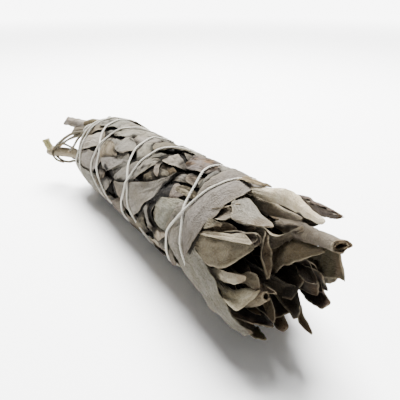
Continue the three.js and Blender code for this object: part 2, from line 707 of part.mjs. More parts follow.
const looseRandom = seededRandom(53);
const FAR_LEAVES = Array.from({ length: 6 }, (unused, k) => {
  const around = -52 - 20 * k + 6 * (looseRandom() - 0.5);
  const tip = 152 + 8 * looseRandom();
  const radius = [20, 14][k % 2];
  const sway = 8 * (looseRandom() - 0.5);
  return {
    name: `far ${k}`,
    path: [[126, around, radius - 8], [140, around + 2, radius - 2], [tip, around + sway, radius]],
    width: 11 + 4 * looseRandom(),
    curl: [0.5 + 0.5 * looseRandom(), 0.5 + 0.5 * looseRandom()],
  };
});

const STEM_END_LEAVES = [
  {
    name: 'rolled leaf', path: [[8, 24, 8], [-5, 35, 16], [-22, 45, 24]],
    width: 12, curl: [2.2, 2.2], tipWidth: 0.7,
  },
  {
    name: 'grey stub', path: [[8, 42, 9], [-3, 46, 15], [-12, 49, 20]],
    width: 7, curl: [0.8, 0.8], tipWidth: 0.6,
  },
  {
    name: 'top arch', path: [[8, 12, 9], [-1, 16, 14.5], [-10, 17, 18]],
    width: 9, curl: [0.8, 0.8], tipWidth: 0.4,
  },
];

// Stems: one in each sprig, cut off at uneven lengths

const STEMS = [
  { path: [[20, 8, 9], [0, 8, 9], [-7, 8, 9.5]], radius: 1.7 },
  { path: [[20, 50, 9], [0, 50, 9], [-4, 50, 9.5]], radius: 1.5 },
  { path: [[20, 98, 8], [-3, 95, 13.5], [-24, 90, 28.5]], radius: 2.1 },
  { path: [[20, 140, 10], [0, 140, 10], [-6, 141, 10.5]], radius: 1.8 },
  { path: [[20, 182, 9], [0, 182, 9], [-9, 182, 8.5]], radius: 1.6 },
  { path: [[20, 226, 10], [0, 226, 10], [-5, 226, 11]], radius: 2.0 },
  { path: [[20, 270, 9], [0, 270, 9], [-8, 269, 10]], radius: 1.7 },
  { path: [[20, 316, 10], [0, 316, 10], [-10, 318, 12]], radius: 1.6 },
];
const FORK_PEG = { path: [[-19, 91, 26], [-20, 84, 28.5], [-21, 76, 32.5]], radius: 1.5 };

function stemSolid(stem) {
  const path = Array.from({ length: STEM_STEPS + 1 }, (unused, i) => (
    place(...throughThree(...stem.path, i / STEM_STEPS))));
  const knots = path.map((unused, i) => stem.radius * (i % 3 === 1 ? KNOT_SWELL : 1));
  return ringSolid(ringsAlong(path, knots, STEM_SIDES));
}

// Thread: one cord from the stem end to the leaf end and back, over everything that it holds

const THREAD_ROUTE = [
  [-1080, 3.0], [-720, 4.2], [-360, 5.6], [-60, 8.2], [10, 15], [22, 20], [38, 25], [60, 32], [90, 36],
  [180, 41], [270, 49], [360, 60], [388, 66], [405, 70], [425, 78], [455, 82], [540, 90], [630, 99],
  [702, 109], [720, 113], [745, 119], [765, 122], [780, 126], [800, 130], [825, 134], [900, 137],
  [990, 137],
  [1065, 133], [1080, 129.8], [1100, 129], [1125, 127], [1138, 125], [1160, 119], [1185, 115], [1260, 108],
  [1350, 94], [1425, 81], [1440, 78.5], [1480, 78.3], [1505, 78], [1525, 75], [1545, 70], [1620, 62],
  [1710, 46], [1795, 31], [1840, 30], [1860, 29], [1880, 26], [1905, 22], [1980, 17], [2070, 10],
  [2160, 6.6], [2520, 4.8], [2600, 3.4],
];
const TIED_STEM = 2;                // the thread's end is wound round this stem
const LOOP_TURNS = 2;
const LOOP_STEPS = 8;
const LOOP_START = 0.62;           // fraction of the stem's length
const LOOP_LENGTH = 0.05;
const LOOP_TURN_START = 200;
const THREAD_BITE = 0.3;           // where the thread crosses itself, one strand is pressed into the other

function threadPath() {
  const stepAngle = 360 / THREAD_STEPS_PER_TURN;
  const first = THREAD_ROUTE[0][0];
  const last = THREAD_ROUTE[THREAD_ROUTE.length - 1][0];
  const strand = [];
  for (let angle = first; angle <= last; angle += stepAngle) {
    strand.push({ angle, along: interpolate(THREAD_ROUTE, angle), radius: 0 });
  }
  const cover = new Float64Array(mapTop.length);
  const reach = THREAD_STEPS_PER_TURN;
  for (let start = 0; start < strand.length - 1; start += reach) {
    const end = Math.min(start + reach, strand.length - 1);
    tighten(strand, start, end, cover);
    for (let i = start; i < end; i += 1) {
      for (let k = 0; k <= 16; k += 1) {
        const [along, angle, radius] = ['along', 'angle', 'radius'].map((key) => (
          strand[i][key] + (strand[i + 1][key] - strand[i][key]) * k / 16));
        const index = mapIndex(along, angle);
        cover[index] = Math.max(cover[index], radius + 2 * THREAD_RADIUS - THREAD_BITE);
      }
    }
  }
  return strand;
}

function tighten(strand, start, end, cover) {
  // The strand is lifted just over what is under it, and drawn straight over the hollows.
  const chord = 1 - Math.cos(radians(180 / THREAD_STEPS_PER_TURN));
  const lowest = (along, angle) => {
    const index = highestNear(along, angle);
    const leaf = mapTop[index] + NODE_GAP + THREAD_RADIUS;
    return Math.max(leaf, cover[mapIndex(along, angle)]);
  };
  for (let i = start; i <= end; i += 1) {
    if (i > start || start === 0) strand[i].radius = lowest(strand[i].along, strand[i].angle);
  }
  for (let sweep = 0; sweep < 40; sweep += 1) {
    for (let i = Math.max(start, 1); i < end; i += 1) {
      const level = (strand[i - 1].radius + strand[i + 1].radius) / 2;
      if (i > start) strand[i].radius = Math.max(strand[i].radius, level - 3.2 * chord * level);
    }
    for (let i = start; i < end; i += 1) {
      for (let k = 0; k <= 10; k += 1) {
        const w = k / 10;
        const along = strand[i].along * (1 - w) + strand[i + 1].along * w;
        const angle = strand[i].angle * (1 - w) + strand[i + 1].angle * w;
        const sag = 4 * w * (1 - w) * chord * strand[i].radius;
        const short = lowest(along, angle) + sag - (strand[i].radius * (1 - w) + strand[i + 1].radius * w);
        if (short <= 0.002) continue;
        const power = w * w + (1 - w) ** 2;
        strand[i].radius += short * (1 - w) / power;
        strand[i + 1].radius += short * w / power;
      }
    }
  }
}

function stemLoops() {
  // The end of the thread: turns round the stem that sticks out, and a short tail.
  const stem = STEMS[TIED_STEM];
  const away = stem.radius * KNOT_SWELL + NODE_GAP + THREAD_RADIUS + 0.1;
  const steps = LOOP_TURNS * LOOP_STEPS;
  return Array.from({ length: steps + 1 }, (unused, k) => {
    const [along, angle, radius] = throughThree(...stem.path, LOOP_START + LOOP_LENGTH * k / steps);
    const turn = radians(LOOP_TURN_START + 360 * k / LOOP_STEPS);
    const lift = away + (k > steps - 2 ? 1.5 * (k - steps + 2) : 0);
    return place(along, angle, radius).addScaledVector(outward(angle), lift * Math.cos(turn))
      .addScaledVector(outward(angle + 90), lift * Math.sin(turn));
  });
}

function threadSolid() {
  // Skinned in half turns, because one turn crosses another.
  const winding = threadPath().map((p) => place(p.along, p.angle, p.radius));
  const route = [...winding, ...stemLoops()];
  const rings = ringsAlong(route, route.map(() => THREAD_RADIUS), THREAD_SIDES);
  const reach = THREAD_STEPS_PER_TURN / 2;
  let solid = null;
  for (let start = 0; start < rings.length - 1; start += reach) {
    const part = ringSolid(rings.slice(start, start + reach + 1));
    solid = solid ? solid.add(part) : part;
  }
  return solid;
}

// Scene graph

const group = new THREE.Group();

function addNode(name, solid, colour) {
  const mesh = solid.getMesh();
  const geometry = new THREE.BufferGeometry();
  geometry.setAttribute('position', new THREE.BufferAttribute(new Float32Array(mesh.vertProperties), 3));
  geometry.setIndex(new THREE.BufferAttribute(new Uint32Array(mesh.triVerts), 1));
  geometry.computeVertexNormals();
  const material = new THREE.MeshStandardMaterial({ color: colour, roughness: 0.9, metalness: 0 });
  const object = new THREE.Mesh(geometry, material);
  object.name = name;
  group.add(object);
}

const looseLeaves = [...LOOSE_LEAVES, ...FAR_LEAVES, ...STEM_END_LEAVES].map((blade) => ({
  ...blade,
  owner: sectorOf(blade.path[0][1]),
  solid: curledBlade(blade, 0),
  clearance: curledBlade(blade, NODE_GAP),
}));

function coverWith(solid, owner) {
  // What sticks out of the stem end also carries the thread that is wound over it.
  const mesh = solid.getMesh();
  const corner = (index) => new THREE.Vector3().fromArray(mesh.vertProperties, 3 * index);
  for (let k = 0; k < mesh.triVerts.length; k += 3) {
    const [a, b, c] = [0, 1, 2].map((j) => corner(mesh.triVerts[k + j]));
    const steps = Math.ceil(Math.max(a.distanceTo(b), b.distanceTo(c), c.distanceTo(a)) / 0.7);
    for (let m = 0; m <= steps; m += 1) {
      for (let n = 0; m + n <= steps; n += 1) {
        const point = a.clone().multiplyScalar(m / steps).addScaledVector(b, n / steps)
          .addScaledVector(c, (steps - m - n) / steps).sub(AXIS_START);
        const [up, side] = [point.dot(AXIS_UP), point.dot(AXIS_SIDE)];
        const angle = THREE.MathUtils.radToDeg(Math.atan2(side, up));
        raiseMap(point.dot(AXIS_DIRECTION), angle, Math.hypot(up, side), owner);
      }
    }
  }
}

for (const leaf of looseLeaves) {
  if (leaf.path[0][0] < 20) coverWith(leaf.solid, leaf.owner);
}
STEMS.forEach((stem, sprig) => coverWith(stemSolid(stem), sprig));

function sprigSolid(sprig) {
  let solid = coreSolid(sprig).add(stemSolid(STEMS[sprig]));
  if (sprig === TIED_STEM) solid = solid.add(stemSolid(FORK_PEG));
  for (const leaf of wrapLeaves.filter((wrap) => wrap.owner === sprig)) solid = solid.add(leaf.solid);
  for (const leaf of wrapLeaves.filter((wrap) => wrap.owner < sprig)) {
    if (solid.intersect(leaf.solid).volume() > 0) solid = solid.subtract(leaf.clearance);
  }
  for (const leaf of looseLeaves.filter((loose) => loose.owner !== sprig)) {
    solid = solid.subtract(leaf.clearance);
  }
  for (const leaf of looseLeaves.filter((loose) => loose.owner === sprig)) {
    const clear = looseLeaves.filter((other) => other.owner < sprig)
      .reduce((blade, other) => blade.subtract(other.clearance), leaf.solid);
    solid = solid.add(clear);
  }
  // A splinter that a cut leaves loose isn't kept.
  return solid.decompose().sort((a, b) => b.volume() - a.volume())[0];
}

for (let sprig = 0; sprig < SPRIG_COUNT; sprig += 1) {
  addNode(`sprig_${sprig + 1}`, sprigSolid(sprig), COLOURS.leaf);
}
addNode('thread', threadSolid(), COLOURS.thread);

export default group;
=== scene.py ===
"""Sage smudge stick: dried sprigs wrapped in their own leaves and wound with cotton thread."""

import collections
import functools
import math

import bpy
import numpy as np
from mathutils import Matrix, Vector


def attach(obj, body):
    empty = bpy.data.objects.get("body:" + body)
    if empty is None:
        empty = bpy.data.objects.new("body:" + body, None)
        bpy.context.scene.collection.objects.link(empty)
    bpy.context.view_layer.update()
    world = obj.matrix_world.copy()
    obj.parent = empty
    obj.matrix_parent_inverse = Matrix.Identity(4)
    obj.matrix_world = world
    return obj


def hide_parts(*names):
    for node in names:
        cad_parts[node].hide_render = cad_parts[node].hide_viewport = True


bl_info = {
    "name": "Sage Smudge Stick",
    "version": (1, 0, 0),
    "blender": (4, 5, 0),
    "location": "View3D > Sidebar > Sage",
    "description": "Dresses the packed bundle with fine leaves, stems and a twisted cotton thread",
    "category": "Object",
}

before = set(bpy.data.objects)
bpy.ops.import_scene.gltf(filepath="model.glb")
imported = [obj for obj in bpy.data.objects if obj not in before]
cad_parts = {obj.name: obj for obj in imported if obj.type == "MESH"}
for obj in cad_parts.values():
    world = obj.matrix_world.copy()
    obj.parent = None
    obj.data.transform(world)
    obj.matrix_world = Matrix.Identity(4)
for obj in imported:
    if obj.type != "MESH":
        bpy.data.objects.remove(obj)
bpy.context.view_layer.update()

# Bundle frame, in millimetres: distance along the axis from the stem end of the wrap, angle from the
# top towards -Y in degrees, and radius from the axis.

AXIS_HEIGHT = 21.8
AXIS_RISE = math.radians(2.0)
ORIGIN_ALONG = 80.9
ORIGIN_ACROSS = 4.2
WRAP_ALONG = (-6, 0, 10, 60, 110, 130, 150)
WRAP_RADIUS = (17.0, 19.4, 20.6, 21.4, 22.0, 22.8, 24.5)
SPRIG_COUNT = 8
SECTOR = 360 / SPRIG_COUNT
CORE_START = -4.0
CORE_END = 129.0
DEGREE_WIDTH = 0.38
LEAST_SLOPE = 0.3
MM = 0.001

AXIS_DIRECTION = np.array([math.cos(AXIS_RISE), 0.0, math.sin(AXIS_RISE)])
AXIS_UP = np.array([-math.sin(AXIS_RISE), 0.0, math.cos(AXIS_RISE)])
AXIS_SIDE = np.array([0.0, -1.0, 0.0])
AXIS_START = np.array([-ORIGIN_ALONG, ORIGIN_ACROSS, AXIS_HEIGHT])


def outward(angle):
    turn = np.radians(np.asarray(angle, float))[..., None]
    return AXIS_UP * np.cos(turn) + AXIS_SIDE * np.sin(turn)


def place(along, angle, radius):
    along = np.asarray(along, float)[..., None]
    radius = np.asarray(radius, float)[..., None]
    return AXIS_START + AXIS_DIRECTION * along + outward(angle) * radius


def placed(points):
    """Points given as rows of (along, angle, radius)."""
    return place(*np.asarray(points, float).T)


def wrap_radius(along):
    return np.interp(along, WRAP_ALONG, WRAP_RADIUS)


def floor_radius(along, angle):
    """Radius at which a point under the axis meets the surface that the bundle lies on."""
    height = AXIS_HEIGHT + np.asarray(along) * AXIS_DIRECTION[2]
    return height / np.maximum(LEAST_SLOPE, -outward(angle)[..., 2])


def sprig_at(angle):
    """Number of the sprig that grows at an angle."""
    return int(angle % 360 / SECTOR + 0.5) % SPRIG_COUNT + 1


def through(points, u):
    """A smooth path through evenly spaced points, at u from 0 to 1."""
    points = np.asarray(points, float)
    padded = np.concatenate([[2 * points[0] - points[1]], points, [2 * points[-1] - points[-2]]])
    place_on = np.clip(np.asarray(u, float), 0, 1) * (len(points) - 1)
    k = np.minimum(place_on.astype(int), len(points) - 2)
    t = (place_on - k)[..., None]
    p0, p1, p2, p3 = (padded[k + shift] for shift in range(4))
    curve = 2 * p1 + (p2 - p0) * t + (2 * p0 - 5 * p1 + 4 * p2 - p3) * t**2
    return (curve + (3 * p1 - p0 - 3 * p2 + p3) * t**3) / 2


def smooth_step(low, high, x):
    t = np.clip((np.asarray(x, float) - low) / (high - low), 0, 1)
    return t * t * (3 - 2 * t)


def rounded(t):
    """A quarter circle, from 0 at 0 to 1 at 1."""
    return np.sqrt(t * (2 - t))


def unit(vectors):
    return vectors / np.maximum(np.linalg.norm(vectors, axis=1), 1e-6)[:, None]


def line_length(points):
    return np.sum(np.linalg.norm(np.diff(points, axis=0), axis=1))


def cell_steps(size, cell, fewest, most, start=0):
    """Even steps from start to 1 over a size, about a cell each."""
    return np.linspace(start, 1, int(np.clip(size / cell, fewest, most)) + 1)


def ripple(x, y, seed, size):
    """Smooth irregular waves between about -1 and 1, with features of the given size."""
    random = np.random.default_rng(seed)
    total = np.zeros(np.broadcast(x, y).shape)
    for _ in range(7):
        turn, phase = random.uniform(0, 2 * math.pi, 2)
        pace = 2 * math.pi / (size * random.uniform(0.8, 2.2))
        total += np.sin(pace * (x * math.cos(turn) + y * math.sin(turn)) + phase)
    return total / 3.2


def creases(x, y, seed, size):
    """Sharp ridges with flatter ground between them, from 0 to 1."""
    ridge = 0.45
    return 1 - np.minimum(1, np.abs(ripple(x, y, seed, size)) / ridge)


# Tables of leaves. A leaf is given by the number of its sprig, its finish and its two edges from root to
# tip, as (along, angle) where it is wrapped over others and as (along, angle, radius) where it is in the
# open. A curled leaf has its midrib and its width instead, and how far its two edges bend inwards, in
# radians. Lengths are in millimetres, and what has no unit here is a share of the usual value, 0 for none.
#
# Any leaf: tone, brightness of its finish. On some leaves the tone, and a darker or paler finish, is set
# darker as painted shade or lighter as painted light, for how the light falls on them.
# Leaves with two edges: crumple, strength of their creases.
# Wrapped leaves: edge and tip, how far the edges and the tip stand off. rib, height of the midrib.
#   rounding, length of the rounded tip. stiffness, how many times it is smoothed over what it lies on.
#   cell, size of its cells. ceiling, how far over the wrap's own radius it may lie. shaded, how much of
#   the painted shade in the gaps and creases it takes. stain, brown in its middle, partly the
#   leaf's own colour and partly painted shade.
# Leaves in the open: edge, strength of the pale rim, partly wear and partly painted highlight. brown, brown
# at
#   the tip. bulge, how far the middle stands out from the axis. lift, how far the two edges turn outwards.
#   square, a tip that isn't narrowed.
# Curled leaves: roll, the turn about the midrib in degrees. flat, height of the curl. blunt, width of the
#   tip. torn and notch, depth of the raggedness and of a notch at the tip.


def edged(sprig, finish, left, right, **more):
    return dict(more, sprig=sprig, finish=finish, left=left, right=right)


def curled(sprig, finish, path, width, curl, **more):
    return dict(more, sprig=sprig, finish=finish, path=path, width=width, curl=curl)


# Wrapping leaves that the camera sees, from the lowest layer to the topmost

SEEN_LEAVES = {
    "top side": edged(8, "grey", ((60, -66), (40, -62), (22, -60)), ((60, -34), (42, -30), (24, -28))),
    "neck side": edged(8, "shade", ((-4, -66), (8, -62), (26, -60)), ((-6, -30), (8, -26), (24, -24))),
    "neck right": edged(3, "shade", ((-4, 84), (6, 88), (20, 92)), ((-4, 122), (6, 126), (22, 122))),
    "neck left": edged(2, "shade", ((-6, 44), (4, 46), (14, 50)), ((-7, 82), (4, 84), (14, 80))),
    "neck top": edged(1, "shade", ((16, -34), (4, -28), (-6, -6), (-6, 22)),
        ((26, 2), (18, 12), (12, 27), (3, 45))),
    "neck band": edged(1, "grey", ((24, -16), (19, 8), (12, 28), (2, 40)),
        ((34, -12), (32, 16), (29, 30), (22, 38))),
    "neck strip one": edged(1, "grey", ((4, 44), (5, 26), (6, 6), (9, -14)),
        ((7, 54), (12, 38), (14, 22), (18, 6)), shaded=0.4),
    "neck strip two": edged(1, "tan", ((7, 52), (12, 37), (14, 22), (18, 6)),
        ((8, 61), (13, 46), (19, 35), (23, 22)), tone=1.3, edge=0.6, shaded=0.4),
    "neck low": edged(3, "shade", ((40, 68), (38, 84), (38, 104)), ((47, 64), (49, 74), (50, 92))),
    "neck grey": edged(2, "grey", ((8, 78), (15, 70), (26, 62), (38, 58)),
        ((12, 96), (20, 97), (32, 90), (42, 70)), tone=1.3, stiffness=200, shaded=0.2),
    "neck cover": edged(1, "grey", ((42, -36), (26, -20), (8, 2)), ((46, -6), (32, 8), (17, 26))),
    "oval": edged(2, "grey", ((7, 66), (13, 52), (21, 40), (26, 26)),
        ((13, 70), (22, 63), (30, 51), (32, 36)), tone=1.35, rounding=4, stiffness=200, shaded=0.2),
    "low stem end": edged(3, "grey", ((36, 88), (20, 91), (0, 95)), ((38, 122), (20, 128), (0, 130))),
    "top pale": edged(1, "grey", ((66, -30), (52, -38), (38, -34), (28, -10)),
        ((62, -6), (54, 4), (46, 17), (34, 26)), tone=1.1, crumple=1.7),
    "top strips": edged(1, "grey", ((92, -34), (80, -40), (68, -38)), ((98, -12), (88, -13), (78, -8))),
    "upper fold": edged(1, "grey", ((68, -8), (60, -5), (52, 16)), ((70, 10), (68, 21), (62, 31))),
    "broad lower": edged(2, "grey", ((42, 50), (44, 62), (51, 70)), ((72, 40), (65, 54), (56, 69)),
        stiffness=200),
    "light middle": edged(2, "grey", ((52, 12), (46, 26), (41, 36)), ((65, 30), (57, 37), (43, 39))),
    "broad middle": edged(2, "grey", ((36, 27), (31, 42), (37, 57), (48, 74)),
        ((50, 26), (60, 34), (68, 44), (72, 57)), tone=1.1, rounding=1, stiffness=200, rib=0.4, shaded=0.4),
    "between threads": edged(1, "grey", ((82, 3), (70, 6), (66, 20), (70, 37)),
        ((84, 18), (81, 28), (78, 36), (73, 42))),
    "dark strip": edged(1, "shade", ((84, -26), (73, -6), (72, 10)), ((90, -14), (81, 2), (77, 16))),
    "small pink": edged(2, "pink", ((70, 55), (63, 59), (58, 67)), ((71, 64), (66, 70), (60, 72)),
        crumple=1.8),
    "low triangle": edged(3, "grey", ((46, 84), (44, 94), (44, 108)), ((60, 74), (59, 86), (48, 108))),
    "small under": edged(3, "shade", ((40, 78), (42, 84), (45, 88)), ((50, 72), (52, 77), (50, 83)),
        crumple=1.6),
    "low between": edged(3, "shade", ((74, 86), (65, 98), (56, 110)), ((74, 108), (60, 120), (56, 115))),
    "tan leaf": edged(2, "brown", ((90, 22), (94, 32), (101, 41)), ((96, 20), (103, 24), (107, 27))),
    "folded point": edged(2, "shade", ((101, 29), (90, 34), (88, 44), (88, 57)),
        ((103, 39), (98, 45), (94, 50), (90, 56))),
    "narrow fold": edged(2, "pink", ((84, 22), (88, 31), (95, 41)), ((89, 22), (94, 32), (98, 41)),
        crumple=1.5),
    "grey diagonal": edged(2, "grey", ((88, 20), (79, 34), (72, 48), (62, 73)),
        ((90, 32), (85, 46), (80, 62), (67, 75)), stiffness=200),
    "curled rim": edged(1, "grey", ((88, 2), (98, 7), (107, 12)), ((88, 22), (97, 23), (107, 16)), edge=0.9),
    "small far": edged(1, "grey", ((113, 20), (108, 23), (105, 32)), ((117, 28), (112, 31), (106, 36)),
        edge=0.6),
    "pale bit": edged(1, "pink", ((116, 8), (110, 12), (112, 23)), ((121, 20), (119, 28), (115, 30)),
        stain=0.4),
    "pink point": edged(2, "pink", ((109, 33), (109, 42), (109, 53)), ((118, 38), (115, 47), (112, 53)),
        tone=1.3, shaded=0.2),
    "small roll": edged(2, "cream", ((123, 30), (117, 32), (113, 38)), ((124, 38), (119, 41), (114, 43)),
        tone=0.8, tip=1.2, edge=0.8),
    "small square": edged(1, "shade", ((114, -3), (116, 4), (118, 13)), ((120, 3), (123, 10), (124, 16))),
    "small grey": edged(1, "grey", ((121, 7), (119, 14), (119, 22)), ((126, 15), (126, 23), (124, 30))),
    "pink leaf": edged(8, "pink", ((106, -44), (101, -26), (97, -14), (101, 6)),
        ((120, -36), (118, -4), (114, 12), (106, 18)), edge=0.7, tone=0.8, stain=1.0, crumple=2.2),
    "right middle": edged(2, "grey", ((130, 36), (121, 45), (113, 51), (103.5, 59)),
        ((136, 74), (124, 88), (116, 87), (107, 78)), rounding=0.6, stiffness=220, shaded=0.3),
    "low strip one": edged(3, "shade", ((101, 66), (100, 75), (101, 84), (104, 92)),
        ((106, 66), (106, 75), (108, 84), (112, 88)), crumple=1.6),
    "low strip two": edged(3, "grey", ((97, 73), (95, 84), (97, 93), (102, 98)),
        ((101, 70), (102, 79), (104, 86), (107, 93)), crumple=1.6),
    "low strip three": edged(3, "shade", ((93, 84), (90, 97), (85, 112)), ((99, 85), (100, 96), (97, 110)),
        crumple=1.6),
    "low strip four": edged(3, "grey", ((106, 88), (106, 98), (104, 112)),
        ((112, 92), (114, 100), (114, 110)), crumple=1.6),
    "low scrap": edged(3, "cream", ((107, 88), (108, 93), (110, 100)), ((114, 84), (117, 87), (113, 98)),
        tip=0.9),
    "big diagonal": edged(2, "grey", ((108, 18), (102, 38), (89, 56), (62, 78)),
        ((108, 20), (105.5, 42), (99.5, 68), (84, 106)), tone=1.1, stiffness=240, crumple=0.8, shaded=0.3),
    "behind collar": edged(1, "grey", ((132, -36), (128, -8), (119, -4), (119, 6)),
        ((138, -10), (134, 14), (131, 24), (125, 34))),
    "top long": edged(8, "grey", ((112, -12), (117, -24), (124, -36)), ((121, -2), (128, -4), (135, -14))),
    "lower band": edged(3, "grey", ((121, 44), (120, 64), (118, 80), (121, 92), (126, 104)),
        ((140, 44), (138, 66), (137, 84), (136, 96), (133, 108)), tone=0.9, stiffness=220),
    "hanging scrap": edged(3, "shade", ((118, 100), (113, 116), (114, 128)),
        ((124, 98), (125, 108), (121, 118)), tip=0.8),
    "collar": edged(8, "pink", ((118, -40), (122, 0), (126, 35), (128, 56), (131, 86)),
        ((131, -40), (141, 2), (141, 35), (140, 56), (136, 88)), tone=0.85, tip=0.2, rounding=5, edge=0.5,
        crumple=0.5, stiffness=240),
    "tan over": edged(2, "tan", ((37, 33), (36.5, 48), (42, 62)), ((45, 34), (54, 44), (57, 53)), tone=1.5,
        edge=0.5, rounding=1, stiffness=200),
    "under fold": edged(2, "grey", ((42, 62), (47, 67), (55, 71)), ((50, 53), (60, 49), (70, 43)), tone=1.05,
        edge=0.6, rounding=0.6, stiffness=200, shaded=0.5),
    "corner leaf": edged(2, "grey", ((50, 13), (48.5, 26), (50, 41)), ((58, 17), (65, 27), (59, 42)),
        edge=0.6, rounding=0.6, stiffness=200, shaded=0.5),
}

# Collars that those leaves cover, and on the far side

HIDDEN_COLLARS = {
    "under collar": edged(3, "shade", ((119, 108), (126, 150), (129, 196)),
        ((127, 106), (143, 148), (137, 196))),
    "back collar": edged(8, "grey", ((120, 318), (126, 260), (129, 205)),
        ((127, 318), (143, 262), (137, 205))),
}

# Painted shade of deep gaps between the leaves, laid on the leaves that lie there where the geometry has no
# such gap: a half width in millimetres and a line of (along, angle)

PAINTED_GAP_LINES = [
    (1.3, ((107, 23), (106.6, 32), (106, 44))),
    (2.3, ((105.6, 44), (105, 54), (103.8, 64), (103.2, 73), (105.6, 82), (108.5, 90))),
    (0.6, ((71, 11), (69, 2), (67.5, -9), (69, -19))),
    (0.8, ((90, 16), (87, 7), (86, -3), (91, -1))),
    (0.8, ((100.5, 15), (99, 8), (98, 0))),
    (1.2, ((50.5, 66), (55.5, 68), (62.5, 70))),
    (0.9, ((59, 82), (62, 86), (66, 91))),
    (0.5, ((38, 32), (39, 27), (45, 26))),
    (0.5, ((52, 18), (57, 19), (60.5, 14))),
]

# Curled leaves of the leaf end

LOOSE_LEAVES = {
    "cut roll": curled(8, "shade", ((130, -50, 12), (148, -36, 15), (166, -5, 18.8), (184, 9.5, 24)), 19,
        (2.6, 2.6), flat=0.65, blunt=0.82, torn=0.9, tone=1.1, brown=0.8),
    "cut roll lining": curled(8, "brown", ((158, -19, 16), (166, -5, 17.9), (175, 3, 20.2), (183, 9.4, 23)),
        16, (2.95, 2.95), flat=0.5, blunt=0.9, torn=0.6, tone=1.7, brown=0.3),
    "cut roll heart": curled(8, "brown", ((158, -19, 16), (166, -5, 17.9), (175, 3, 20), (183.4, 9.4, 22.9)),
        12, (2.7, 2.7), flat=0.5, blunt=0.9, torn=0.9, tone=1.9, brown=0.3),
    "small tube": curled(4, "tan", ((134, 144, 18.5), (146, 138, 19), (158, 117, 16.8), (168, 87, 15.6)), 11,
        (2.6, 2.6), blunt=0.7, torn=0.4),
    "inner curl": curled(4, "olive", ((132, 150, 9), (144, 150, 13.5), (158, 150, 16.5)), 9, (1.3, 1.3),
        roll=180),
}
